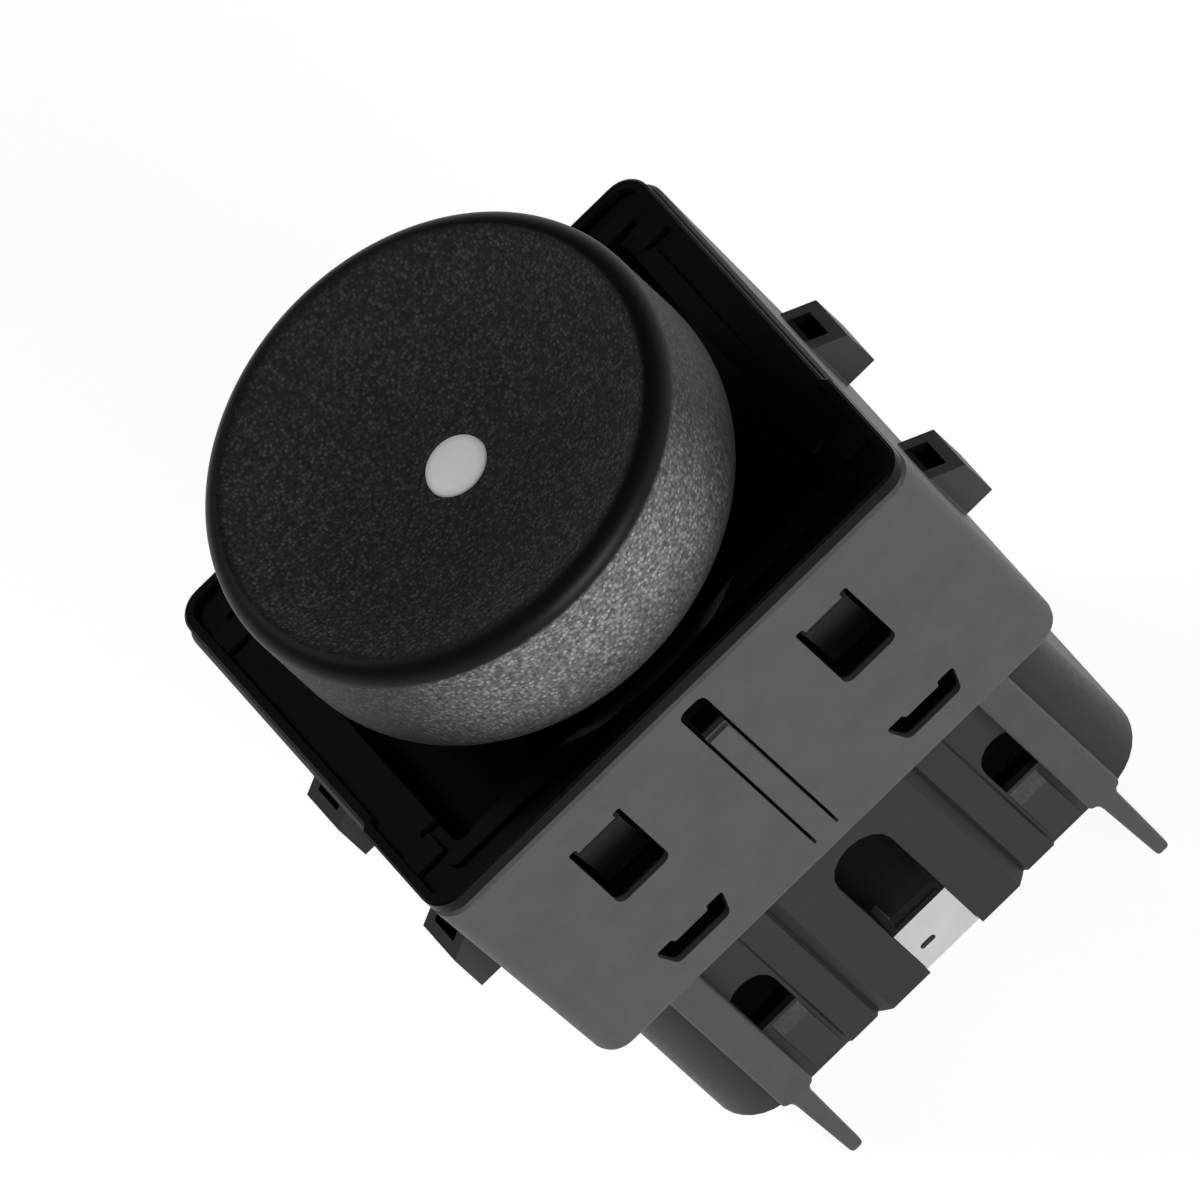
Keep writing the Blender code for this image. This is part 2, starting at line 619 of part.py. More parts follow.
def make_bezel():
    """Rim, sunken well, plunger guide and snap arms in one moulding."""
    bm = bmesh.new()
    loft(bm, [[(x, y, z) for x, y in bezel_outline(inset)]
              for z, inset in ((0, 0), (RIM_RISE - RIM_EDGE, 0), (RIM_RISE, RIM_EDGE))])
    bezel = finish("bezel_frame", bm, BLACK_GLOSS, smooth=40)

    above = 2 * RIM_RISE
    bm = bmesh.new()
    extrude(bm, bezel_outline(RIM_WIDTH), "Z", GROOVE_FLOOR, above)
    combine(bezel, bm, "DIFFERENCE")

    bm = bmesh.new()
    extrude(bm, rectangle(TUB_HALF_X, TUB_HALF_Y, TUB_CORNER), "Z", -TUB_DEPTH, TUB_RISE)
    combine(bezel, bm, "UNION")

    web_low = -WELL_DEPTH - WELL_FLOOR
    below = -TUB_DEPTH - TUB_WALL
    well = rectangle(WELL_HALF_X, WELL_HALF_Y, TUB_CORNER)
    bm = bmesh.new()
    extrude(bm, well, "Z", -WELL_DEPTH, above)
    extrude(bm, well, "Z", below, web_low)
    combine(bezel, bm, "DIFFERENCE")

    bm = bmesh.new()
    under = arc(CAP_LIP, CAP_TURN - TRAVEL, CAP_TUCK + GAP, CAP_TURN - CAP_BOTTOM + GAP, -90, 0, 6)
    turn(bm, [(0, under[0][1])] + under + [(0, under[-1][1])], ROUND_STEPS)
    combine(bezel, bm, "DIFFERENCE")

    notch = LUG_LENGTH / 2 + LUG_CLEAR
    bm = bmesh.new()
    for side, y in lug_places():
        x0, x1 = sorted((side * (WELL_HALF_X - TUB_WALL), side * (TUB_HALF_X + NOTCH_SINK)))
        block(bm, x0, x1, y - notch, y + notch, GROOVE_FLOOR - NOTCH_SINK, above)
    combine(bezel, bm, "DIFFERENCE")

    bm = bmesh.new()
    cylinder(bm, GUIDE_RADIUS + GUIDE_WALL / 2, below, above, TUBE_STEPS)
    combine(bezel, bm, "DIFFERENCE")

    guide_out = GUIDE_RADIUS + GUIDE_WALL
    bm = bmesh.new()
    turn(bm, [(GUIDE_RADIUS, GUIDE_END), (guide_out, GUIDE_END), (guide_out, -GUIDE_TOP),
              (GUIDE_RADIUS, -GUIDE_TOP)], TUBE_STEPS)
    lug_end = HALF_X - RIM_WIDTH - LUG_REACH
    for side, y in lug_places():
        x0, x1 = sorted((side * lug_end, side * (HALF_X - 2 * RIM_STEP)))
        block(bm, x0, x1, y - LUG_LENGTH / 2, y + LUG_LENGTH / 2, GROOVE_FLOOR - LUG_SINK,
              RIM_RISE - RIM_EDGE)
    combine(bezel, bm, "UNION")

    hook_top = -WINDOW_TOP - GAP
    hook_low = -WINDOW_TOP - WINDOW_HEIGHT + GAP
    bm = bmesh.new()
    for side in (-1, 1):
        inner, lead, tip = (side * (TUB_HALF_Y + y) for y in (-TUB_WALL / 2, HOOK_LEAD, HOOK_REACH))
        outline = [(inner, hook_low), (lead, hook_low), (tip, hook_top - HOOK_FLAT),
                   (tip, hook_top), (inner, hook_top)]
        for x in sides(WINDOW_OFFSET):
            extrude(bm, outline, "X", x - HOOK_HALF, x + HOOK_HALF)
    combine(bezel, bm, "UNION")

    key = RIB_WIDTH / 2 + GAP
    bm = bmesh.new()
    for side in (-1, 1):
        y0, y1 = sorted((side * PLUNGER_BORE, side * (PLUNGER_RADIUS + RIB_RISE + GAP)))
        block(bm, -key, key, y0, y1, -TUB_DEPTH, RIM_RISE)
        y0, y1 = sorted((side * (WELL_HALF_Y - TUB_WALL), side * (TUB_HALF_Y + TUB_WALL)))
        for x in sides(WINDOW_OFFSET):
            for slit in sides(HOOK_HALF - NOTCH_SINK + ARM_SLIT / 2):
                block(bm, x + slit - ARM_SLIT / 2, x + slit + ARM_SLIT / 2, y0, y1, below,
                      web_low - NOTCH_SINK)
    combine(bezel, bm, "DIFFERENCE")


def dish(radius):
    """Height of the cap's dished top at a distance from its axis."""
    share = min(radius / (CAP_RADIUS - CAP_CREST), 1.0)
    return DISH_CENTRE + CAP_DISH * share ** CAP_DISH_POWER


def make_cap(parent):
    """Turned cap: dished top, round crest, tucked skirt, collar and boss."""
    crest = CAP_RADIUS - CAP_CREST
    inner = CAP_RADIUS - CAP_WALL
    radii = [LENS_BORE + (crest - LENS_BORE) * k / DISH_STEPS for k in range(DISH_STEPS + 1)]
    top = [(radius, dish(radius)) for radius in radii]
    crest_arc = arc(crest, CAP_RIM_TOP - CAP_CREST, CAP_CREST, CAP_CREST, 90, 0, DISH_STEPS - 1)[1:]
    tuck = arc(CAP_LIP, CAP_TURN, CAP_TUCK, CAP_TURN - CAP_BOTTOM, 0, -90, DISH_STEPS - 1)
    lip = CAP_LIP - LIP_WIDTH
    inner_tuck = arc(lip, CAP_TURN, inner - lip, CAP_TURN - CAP_BOTTOM, -90, 0, CORNER_STEPS - 1)
    shoulder = dish(inner) - CAP_WALL - CAP_CREST / 2
    collar_out = COLLAR_RADIUS + COLLAR_WALL
    boss_out = LENS_BORE + BOSS_WALL
    under = [(inner, shoulder - CAP_CREST), (inner - CAP_CREST, shoulder),
             (collar_out, COLLAR_TOP + FINE_GAP), (collar_out, COLLAR_END),
             (COLLAR_RADIUS, COLLAR_END), (COLLAR_RADIUS, COLLAR_TOP), (boss_out, COLLAR_TOP),
             (boss_out, BOSS_END), (LENS_BORE, BOSS_END)]
    bm = bmesh.new()
    turn(bm, top + crest_arc + tuck + inner_tuck + under, ROUND_STEPS)
    finish("button_cap", bm, BLACK_GRAINED, smooth=35, parent=parent)


def make_lens(parent):
    """Low-domed lens on a light pipe."""
    top = DISH_CENTRE + LENS_CROWN
    head_end = top - LENS_HEAD
    dome = arc(0, top - LENS_EDGE, LENS_RADIUS, LENS_EDGE, 90, 0, 3)
    dome[0] = (0, top)
    profile = dome + [(LENS_RADIUS, head_end), (PIPE_RADIUS, head_end - LENS_EDGE),
                      (PIPE_RADIUS, -PIPE_END + LENS_EDGE), (PIPE_RADIUS - LENS_EDGE, -PIPE_END),
                      (0, -PIPE_END)]
    bm = bmesh.new()
    turn(bm, profile, ROUND_STEPS // 2)
    finish("indicator_lens", bm, MILKY, smooth=35, parent=parent)


def make_plunger(parent):
    """Tube with a web and core, keyed by two ribs, and an arm over each contact bridge."""
    core = CORE_BORE + CORE_WALL
    web_top = -WEB_UNDER + WEB_THICK
    core_top = BOSS_END - GAP
    profile = [(CORE_BORE, -CORE_END), (core, -CORE_END), (core, -WEB_UNDER),
               (PLUNGER_BORE, -WEB_UNDER), (PLUNGER_BORE, -PLUNGER_END),
               (PLUNGER_RADIUS, -PLUNGER_END), (PLUNGER_RADIUS, PLUNGER_TOP),
               (PLUNGER_BORE, PLUNGER_TOP), (PLUNGER_BORE, web_top), (core, web_top),
               (core, core_top), (CORE_BORE, core_top)]
    bm = bmesh.new()
    turn(bm, profile, TUBE_STEPS)
    plunger = finish("plunger", bm, NATURAL, smooth=35, parent=parent)

    root = PLUNGER_RADIUS - PLUNGER_WALL / 2
    bm = bmesh.new()
    for side in (-1, 1):
        y0, y1 = sorted((side * root, side * (PLUNGER_RADIUS + RIB_RISE)))
        block(bm, -RIB_WIDTH / 2, RIB_WIDTH / 2, y0, y1, ARM_TOP, RIB_TOP)
        x0, x1 = sorted((side * root, side * ARM_REACH))
        block(bm, x0, x1, -ARM_WIDTH / 2, ARM_WIDTH / 2, -PLUNGER_END, ARM_TOP)
    combine(plunger, bm, "UNION")

    bm = bmesh.new()
    for x in sides(BRIDGE_OFFSET):
        cylinder(bm, PEG_RADIUS, -PLUNGER_END - PEG_LENGTH, -PLUNGER_END + ARM_THICK / 2,
                 SMALL_STEPS, (x, 0.0))
    combine(plunger, bm, "UNION")


def make_spring():
    """Round-wire coil with closed ends, between the carrier's cup and the plunger's web."""
    low = CARRIER_TOP + GAP + WIRE_RADIUS
    high = -WEB_UNDER - GAP - WIRE_RADIUS
    closed_rise = DEAD_TURNS * DEAD_PITCH
    angles = [2 * pi * m / WIRE_STEPS for m in range(WIRE_STEPS)]
    rings = []
    for k in range(int(SPRING_TURNS * STEPS_PER_TURN) + 1):
        turns = k / STEPS_PER_TURN
        live = min(max(turns - DEAD_TURNS, 0.0), SPRING_TURNS - 2 * DEAD_TURNS)
        lift = (turns - live) * DEAD_PITCH
        lift += (high - low - 2 * closed_rise) * live / (SPRING_TURNS - 2 * DEAD_TURNS)
        ring = []
        for angle in angles:
            radius = SPRING_RADIUS + WIRE_RADIUS * cos(angle)
            ring.append((radius * cos(2 * pi * turns), radius * sin(2 * pi * turns),
                         low + lift + WIRE_RADIUS * sin(angle)))
        rings.append(ring)
    bm = bmesh.new()
    loft(bm, rings)
    finish("return_spring", bm, SPRING_STEEL, smooth=60)


def make_bridges(parent):
    """Moving contact bars under the plunger's arms."""
    half_y = BRIDGE_SPAN + BRIDGE_END
    for name, x in (("contact_bridge_left", -BRIDGE_OFFSET), ("contact_bridge_right", BRIDGE_OFFSET)):
        bm = bmesh.new()
        bar = rectangle(BRIDGE_WIDTH / 2, half_y, BRIDGE_CORNER, (x, 0.0))
        extrude(bm, bar, "Z", BRIDGE_LOW, BRIDGE_TOP)
        bridge = finish(name, bm, COPPER, smooth=35, parent=parent)
        bm = bmesh.new()
        root = BRIDGE_LOW + BRIDGE_THICK / 2
        for y in sides(BRIDGE_SPAN):
            button = arc(0, BRIDGE_LOW, CONTACT_RADIUS, CONTACT_DEPTH, 0, -90, 3)
            button[-1] = (0, CONTACT_END)
            turn(bm, [(0, root), (CONTACT_RADIUS, root)] + button, SMALL_STEPS, (x, y))
        combine(bridge, bm, "UNION")
        bm = bmesh.new()
        cylinder(bm, PEG_RADIUS + GAP, BRIDGE_LOW - GAP, BRIDGE_TOP + GAP, SMALL_STEPS, (x, 0.0))
        combine(bridge, bm, "DIFFERENCE")


def make_fixed_contacts():
    """Domed rivets whose shanks go through the carrier."""
    head = CARRIER_TOP + GAP
    for row, y in (("front", -BRIDGE_SPAN), ("rear", BRIDGE_SPAN)):
        for side, x in (("left", -BRIDGE_OFFSET), ("right", BRIDGE_OFFSET)):
            crown = arc(0, RIVET_TOP - RIVET_CROWN, RIVET_RADIUS, RIVET_CROWN, 90, 0, 3)
            crown[0] = (0, RIVET_TOP)
            bm = bmesh.new()
            turn(bm, crown + [(RIVET_RADIUS, head), (RIVET_SHANK, head), (RIVET_SHANK, CARRIER_END),
                              (0, CARRIER_END)], SMALL_STEPS, (x, y))
            finish(f"fixed_contact_{row}_{side}", bm, SILVER, smooth=35)


def make_carrier():
    """Plate that holds the fixed contacts, with a spring cup and four feet."""
    bm = bmesh.new()
    extrude(bm, rectangle(CARRIER_HALF_X, CARRIER_HALF_Y, CARRIER_CORNER), "Z",
            CARRIER_END, CARRIER_TOP)
    carrier = finish("contact_carrier", bm, BLACK_MATTE, smooth=35)

    cup_in = SPRING_RADIUS + WIRE_RADIUS + GAP
    cup_out = cup_in + CUP_WALL
    low = CARRIER_TOP - CARRIER_THICK / 2
    rim = CARRIER_TOP + CUP_RISE
    half_foot = FOOT_WIDTH / 2
    bm = bmesh.new()
    turn(bm, [(cup_in, low), (cup_out, low), (cup_out, rim), (cup_in, rim)], ROUND_STEPS // 2)
    for x in sides(CARRIER_HALF_X - FOOT_SETBACK - half_foot):
        for y in sides(CARRIER_HALF_Y - CARRIER_CORNER - FOOT_LENGTH / 2):
            block(bm, x - half_foot, x + half_foot, y - FOOT_LENGTH / 2, y + FOOT_LENGTH / 2,
                  BASE_TOP + GAP, low)
    combine(carrier, bm, "UNION")

    below = CARRIER_END - GAP
    half_x = RESISTOR_LENGTH / 2 + GAP
    half_y = RESISTOR_WIDTH / 2 + GAP
    bm = bmesh.new()
    cylinder(bm, LED_RADIUS + GAP, below, rim, SMALL_STEPS)
    for x in sides(BRIDGE_OFFSET):
        for y in sides(BRIDGE_SPAN):
            cylinder(bm, RIVET_SHANK + GAP, below, rim, SMALL_STEPS, (x, y))
    block(bm, -half_x, half_x, RESISTOR_AT - half_y, RESISTOR_AT + half_y, below, rim)
    combine(carrier, bm, "DIFFERENCE")


def blade_places():
    for row, y in (("front", -BLADE_ROW), ("rear", BLADE_ROW)):
        for k in range(COLUMNS):
            yield f"terminal_{row}_{k + 1}", (k - (COLUMNS - 1) / 2) * BLADE_PITCH, y


def make_board():
    """Board with holes for the terminals' tails and the LED's leads."""
    bm = bmesh.new()
    extrude(bm, rectangle(BOARD_HALF_X, CARRIER_HALF_Y, CARRIER_CORNER), "Z", BOARD_END, BOARD_TOP)
    board = finish("circuit_board", bm, BOARD_GREEN, smooth=35)
    bm = bmesh.new()
    for _, x, y in blade_places():
        half_x = TAIL_WIDTH / 2 + GAP
        half_y = BLADE_THICK / 2 + GAP
        block(bm, x - half_x, x + half_x, y - half_y, y + half_y, BOARD_END - GAP, BOARD_TOP + GAP)
    for x in sides(LEAD_PITCH / 2):
        cylinder(bm, LEAD_SIZE, BOARD_END - GAP, BOARD_TOP + GAP, SMALL_STEPS, (x, 0.0))
    combine(board, bm, "DIFFERENCE")


def make_led():
    """Domed LED standing on the board on its two leads."""
    foot = BOARD_TOP + GAP
    dome = arc(0, foot + LED_HEIGHT - LED_RADIUS, LED_RADIUS, LED_RADIUS, 0, 90, CORNER_STEPS)
    dome[-1] = (0, foot + LED_HEIGHT)
    bm = bmesh.new()
    turn(bm, [(0, foot), (LED_RADIUS, foot)] + dome, SMALL_STEPS)
    led = finish("indicator_led", bm, CLEAR, smooth=35)
    bm = bmesh.new()
    for x in sides(LEAD_PITCH / 2):
        half = LEAD_SIZE / 2
        block(bm, x - half, x + half, -half, half, BOARD_END, foot + half)
    combine(led, bm, "UNION")


def make_resistor():
    low = BOARD_TOP + GAP
    soft = RESISTOR_EDGE
    half_x = RESISTOR_LENGTH / 2
    half_y = RESISTOR_WIDTH / 2
    bm = bmesh.new()
    rings = []
    for z, inset in ((low, 0), (low + RESISTOR_HEIGHT - soft, 0), (low + RESISTOR_HEIGHT, soft)):
        outline = rectangle(half_x - inset, half_y - inset, soft, (0.0, RESISTOR_AT))
        rings.append([(x, y, z) for x, y in outline])
    loft(bm, rings)
    finish("led_resistor", bm, BLACK_MATTE)


def shroud_outline():
    """Rounded box with recessed side fields, two seams and a raised middle panel."""
    face = -SHROUD_HALF_Y
    field = -SHROUD_FIELD
    seam_in = PANEL_HALF + PANEL_BEVEL
    seam_out = seam_in + SEAM_WIDTH
    right = [(PANEL_HALF, -PANEL_FACE, PANEL_CORNER), (seam_in, face, 0),
             ((seam_in + seam_out) / 2, face + SEAM_DEPTH, 0), (seam_out, face, 0),
             (RELIEF_FROM, face, 0), (RELIEF_FROM + RELIEF_DEPTH, field, 0),
             (SHROUD_HALF_X, field, SHROUD_CORNER), (SHROUD_HALF_X, SHROUD_HALF_Y, SHROUD_CORNER)]
    left = [(-x, y, radius) for x, y, radius in reversed(right)]
    return fillet(left + right, LARGE_CORNER_STEPS)


def latch_outline(side):
    """Base latch in (y, z): a foot in the base, an upright arm and its nib."""
    face, back, root, tip = (side * (INNER_Y - GAP + reach)
                             for reach in (0, -LATCH_THICK, -2 * LATCH_THICK, LATCH_NIB))
    nib_top = SLOT_HIGH - GAP
    nib_low = SLOT_LOW + GAP
    foot = SOCKET_TOP + LATCH_ROOT
    head = nib_top + LATCH_RISE
    step = BASE_TOP - LATCH_ROOT
    return [(face, foot), (face, nib_low - LATCH_NIB), (tip, nib_low), (tip, nib_top), (face, nib_top),
            (face, head), (back, head), (back, step), (root, step), (root, foot)]


def catch_outline():
    """Ramped catch rib in (y, z), rooted in the shroud's front wall."""
    back = -SHROUD_FIELD + SHROUD_WALL / 2
    low = SHROUD_END + CATCH_RISE
    high = PORT_LOW - GAP
    return [(back, low), (-SHROUD_FIELD - CATCH_FOOT, low),
            (-SHROUD_FIELD - CATCH_RISE, high - CATCH_RAMP), (-SHROUD_FIELD, high), (back, high)]


def make_base():
    """Base floor, latches and connector shroud in one moulding, with a wall behind the clip."""
    bm = bmesh.new()
    extrude(bm, shroud_outline(), "Z", SHROUD_END, BASE_TOP)
    base = finish("terminal_base", bm, DARK_GREY, smooth=40)

    bm = bmesh.new()
    for x in sides(CATCH_OFFSET):
        extrude(bm, catch_outline(), "X", x - CATCH_WIDTH / 2, x + CATCH_WIDTH / 2)
    for side in (-1, 1):
        for x in sides(SLOT_OFFSET):
            extrude(bm, latch_outline(side), "X", x - LATCH_WIDTH / 2, x + LATCH_WIDTH / 2)
    combine(base, bm, "UNION")

    below = SHROUD_END - SHROUD_WALL
    bm = bmesh.new()
    socket = rectangle(SOCKET_HALF_X, SOCKET_HALF_Y, SHROUD_CORNER - SHROUD_WALL,
                       steps=LARGE_CORNER_STEPS)
    extrude(bm, socket, "Z", below, SOCKET_TOP)
    combine(base, bm, "DIFFERENCE")

    partition = -SOCKET_HALF_Y + CHANNEL_WIDTH
    reach = SOCKET_HALF_X + SHROUD_WALL / 2
    bm = bmesh.new()
    block(bm, -reach, reach, partition, partition + PARTITION_WALL, SHROUD_END + PARTITION_SHORT,
          SOCKET_TOP + BASE_FLOOR / 2)
    combine(base, bm, "UNION")

    front = -PANEL_FACE - SHROUD_WALL
    behind = -SOCKET_HALF_Y + CHANNEL_WIDTH / 2
    half_x = BLADE_WIDTH / 2 + GAP
    half_y = BLADE_THICK / 2 + GAP
    bm = bmesh.new()
    extrude(bm, arch(0.0, ARCH_WIDTH, below, SLEEVE_END - ARCH_DROP), "Y", front, behind)
    for x in sides(PORT_OFFSET):
        extrude(bm, arch(x, PORT_WIDTH, PORT_LOW, PORT_HIGH), "Y", front, behind)
    for _, x, y in blade_places():
        block(bm, x - half_x, x + half_x, y - half_y, y + half_y, SOCKET_TOP - GAP, BASE_TOP + GAP)
    combine(base, bm, "DIFFERENCE")


def make_clip():
    """Folded plate that shows in the arch, with a flap on top and low wings behind the wall."""
    face = -PANEL_FACE + CLIP_RECESS
    skin = face + CLIP_THICK
    wing = -SOCKET_HALF_Y + GAP
    wing_back = wing + CLIP_THICK
    half = ARCH_WIDTH / 2 - GAP
    inner = half - CLIP_THICK
    reach = half + CLIP_WING
    right = [(half, face), (half, wing_back), (inner, wing_back), (inner, skin)]
    left = [(-x, y) for x, y in reversed(right)]
    bm = bmesh.new()
    extrude(bm, right + left, "Z", SHROUD_END + GAP, CLIP_TOP)
    clip = finish("shroud_clip", bm, TIN)

    bm = bmesh.new()
    sink = CLIP_THICK / 8
    block(bm, -half + sink, half - sink, face + sink, face + CLIP_FLAP, CLIP_TOP - CLIP_THICK,
          CLIP_TOP - sink)
    for side in (-1, 1):
        x0, x1 = sorted((side * (half - sink), side * reach))
        block(bm, x0, x1, wing, wing_back - sink, SHROUD_END + GAP + sink,
              SHROUD_END + GAP + CLIP_WING_RISE)
    combine(clip, bm, "UNION")

    bm = bmesh.new()
    spot = rectangle(CLIP_HOLE_WIDTH / 2, CLIP_HOLE_HEIGHT / 2, CLIP_HOLE_CORNER,
                     (CLIP_HOLE_X, SHROUD_END + CLIP_HOLE_RISE))
    extrude(bm, spot, "Y", face - CLIP_THICK, skin + CLIP_THICK)
    combine(clip, bm, "DIFFERENCE")


def make_terminals():
    """Blades in the socket, with narrow tails through the circuit board."""
    half = BLADE_WIDTH / 2
    tip = BLADE_WIDTH / 4
    tail = TAIL_WIDTH / 2
    for name, x, y in blade_places():
        right = [(tip, BLADE_TIP), (half, BLADE_TIP + BLADE_TAPER), (half, BASE_TOP), (tail, BASE_TOP),
                 (tail, BOARD_TOP)]
        outline = [(x + u, z) for u, z in right] + [(x - u, z) for u, z in reversed(right)]
        bm = bmesh.new()
        extrude(bm, outline, "Y", y - BLADE_THICK / 2, y + BLADE_THICK / 2)
        finish(name, bm, TIN)


clear_scene()

BLACK_GRAINED = material("black grained plastic", (0.028, 0.028, 0.029), 0.62)
BLACK_GLOSS = material("black smooth plastic", (0.008, 0.008, 0.008), 0.38)
BLACK_MATTE = material("black matte plastic", (0.015, 0.015, 0.015), 0.6)
GREY_SHELL = material("grey plastic", (0.115, 0.115, 0.117), 0.55)
DARK_GREY = material("dark grey plastic", (0.062, 0.062, 0.064), 0.5)
MILKY = material("milky lens plastic", (0.52, 0.52, 0.51), 0.35)
NATURAL = material("natural acetal", (0.62, 0.61, 0.57), 0.45)
CLEAR = material("clear epoxy", (0.75, 0.76, 0.74), 0.12)
BOARD_GREEN = material("green board", (0.03, 0.14, 0.06), 0.45)
COPPER = material("copper alloy", (0.72, 0.40, 0.24), 0.32, 1.0)
SILVER = material("silver contact", (0.80, 0.80, 0.78), 0.28, 1.0)
TIN = material("tin plate", (0.74, 0.74, 0.73), 0.34, 1.0)
SPRING_STEEL = material("spring steel", (0.50, 0.50, 0.52), 0.30, 1.0)

button_travel = bpy.data.objects.new("button_travel", None)
bpy.context.scene.collection.objects.link(button_travel)

make_sleeve()
make_bezel()
make_base()
make_clip()
make_terminals()
make_board()
make_led()
make_resistor()
make_carrier()
make_fixed_contacts()
make_spring()
make_plunger(button_travel)
make_bridges(button_travel)
make_lens(button_travel)
make_cap(button_travel)
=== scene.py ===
"""Looks of the door lock push switch: finishes, fine surfaces, floor, light and camera.

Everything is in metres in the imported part's own frame: +Z out of the panel, the wall with
the tongue and legs towards -Y, the origin on the button's axis at the housing's top edge.
"""

from math import cos, pi, radians, sin

import bmesh
import bpy
from mathutils import Matrix, Vector


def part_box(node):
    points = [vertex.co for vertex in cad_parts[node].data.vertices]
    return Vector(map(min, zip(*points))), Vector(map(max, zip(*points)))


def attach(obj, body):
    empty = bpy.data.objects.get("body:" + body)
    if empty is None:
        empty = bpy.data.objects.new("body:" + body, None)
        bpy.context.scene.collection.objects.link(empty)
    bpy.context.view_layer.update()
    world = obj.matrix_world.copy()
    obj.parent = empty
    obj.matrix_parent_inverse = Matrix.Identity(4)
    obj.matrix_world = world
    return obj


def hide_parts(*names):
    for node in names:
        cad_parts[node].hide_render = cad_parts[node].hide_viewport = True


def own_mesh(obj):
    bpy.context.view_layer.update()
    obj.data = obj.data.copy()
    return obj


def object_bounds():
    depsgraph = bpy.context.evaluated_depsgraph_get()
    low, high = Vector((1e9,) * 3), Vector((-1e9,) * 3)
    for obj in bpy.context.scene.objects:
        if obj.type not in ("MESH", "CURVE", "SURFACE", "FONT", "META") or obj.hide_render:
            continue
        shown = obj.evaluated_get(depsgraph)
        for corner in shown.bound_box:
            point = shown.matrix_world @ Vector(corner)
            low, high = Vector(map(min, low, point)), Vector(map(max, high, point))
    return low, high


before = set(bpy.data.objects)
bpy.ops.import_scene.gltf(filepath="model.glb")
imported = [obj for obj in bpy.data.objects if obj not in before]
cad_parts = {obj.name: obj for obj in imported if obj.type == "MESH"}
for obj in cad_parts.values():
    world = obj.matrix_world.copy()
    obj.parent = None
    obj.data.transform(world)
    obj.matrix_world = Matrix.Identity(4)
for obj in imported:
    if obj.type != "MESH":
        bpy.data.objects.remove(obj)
CAD_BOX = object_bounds()

MM = 0.001

# Camera, fitted to the photograph's 1200 by 1200 frame
PHOTO_SIDE = 1200
FOCAL_PIXELS = 54356.0
CAMERA_AZIMUTH = radians(4.359)
CAMERA_ELEVATION = radians(50.593)
PICTURE_TURN = radians(47.558)
AIM_RIGHT = -0.105 * MM
AIM_UP = -4.345 * MM
CAMERA_DISTANCE = 3.0
SENSOR_WIDTH = 36.0

# Floor and world
FLOOR_HALF = 15.0
FLOOR_GAP = 0.2 * MM
FLOOR_GREY = 0.80
FLOOR_SHADOW_GREY = 0.30
FLOOR_SEEN = 0.90
WORLD_LOW = 0.60
WORLD_HIGH = 0.02
WORLD_SEEN = 0.97
WORLD_FADE = (0.10, 0.55)

# Lamps: place, size and power
FRONT_LAMP = ((0.25, -1.60, 0.36), (1.0, 0.5), 22.0)
BACK_LAMP = ((-0.62, 0.84, 1.22), (0.8, 0.8), 5.0)

# Button cap, beyond what its box gives
DISH_DEPTH = 3.05 * MM
DISH_POWER = 2.2
CREST = 1.3 * MM
TURN_HEIGHT = 6.0 * MM
TUCK = 2.45 * MM
CAP_WALL = 1.5 * MM
LIP_WIDTH = 0.9 * MM
COLLAR_BORE = 7.6 * MM
COLLAR_WALL = 1.2 * MM
COLLAR_END = 3.0 * MM
BOSS_WALL = 1.3 * MM
BOSS_END = 5.5 * MM
BORE_GAP = 0.04 * MM
BORE_EDGE = 0.08 * MM
CAP_STEPS = 160
DISH_STEPS = 24
BEND_STEPS = 14
INNER_STEPS = 8
BORE_STEPS = 3

# Indicator lens
LENS_HEAD = 1.9 * MM
LENS_CROWN = 0.12 * MM
LENS_EDGE = 0.2 * MM
PIPE_RADIUS = 1.5 * MM
LENS_STEPS = 64
DOME_STEPS = 8
SHOULDER_STEPS = 5

# Return spring
WIRE_RADIUS = 0.35 * MM
SPRING_TURNS = 6.5
DEAD_TURNS = 0.8
DEAD_PITCH = 0.75 * MM
COIL_STEPS = 40
WIRE_STEPS = 12

# Clip's plate, which fills its arch more closely than the solid's does
PLATE_HALF = 1.75 * MM
PLATE_STRETCH = 1.155

# Edges of the moulded and stamped pieces
MOULDED_EDGE = 0.08 * MM
STAMPED_EDGE = 0.03 * MM
BLADE_EDGE = 0.05 * MM
WELD_WITHIN = 0.002 * MM
FLAT_WITHIN = radians(0.6)
SHARP_OVER = radians(32)
NORMAL_WEIGHT = 80

# Outlines inside which painted shade darkens the grey pieces' recesses, pockets, tabs and legs and dims
# their sheen
SLEEVE_HALF = (17.7 * MM, 14.45 * MM)
SLEEVE_CORNER = 1.7 * MM
SLEEVE_SKIN = (0.32 * MM, 0.5 * MM)
SLEEVE_LOW = -18.4 * MM
TAB_FROM = 17.8 * MM
TAB_TOP = -9.3 * MM
TAB_SHADE = 0.45
LEG_FROM = -19.15 * MM
LEG_SHADE = 0.15
POCKET_AT = (18.15 * MM, 6.25 * MM, -11.3 * MM)
POCKET_HALF = (0.87 * MM, 1.02 * MM, 2.05 * MM)
SHROUD_HALF = (15.7 * MM, 11.75 * MM)
SHROUD_CORNER = 3.4 * MM
SHROUD_SKIN = (0.1 * MM, 0.3 * MM)
SHROUD_TOP = -19.0 * MM
RECESS_SHADE = 0.04
RECESS_SHEEN = 0.3

# Moulded plastic
DRIFT_SIZE = 2.2 * MM
FLECK_RANGE = (0.56, 0.72)
FLECK_MOST = 0.35
FLECK_PALE = 1.6
GRAIN_MIDDLE = (0.3, 0.7)
GLOSS_SPREAD = 0.06

# Sheet metal
STREAK_SIZE = 0.12 * MM
STREAK_DEPTH = 0.003 * MM
METAL_CLOUD = 2.5 * MM
METAL_SHADES = (0.88, 1.05)
METAL_GLOSS = (-0.07, 0.09)

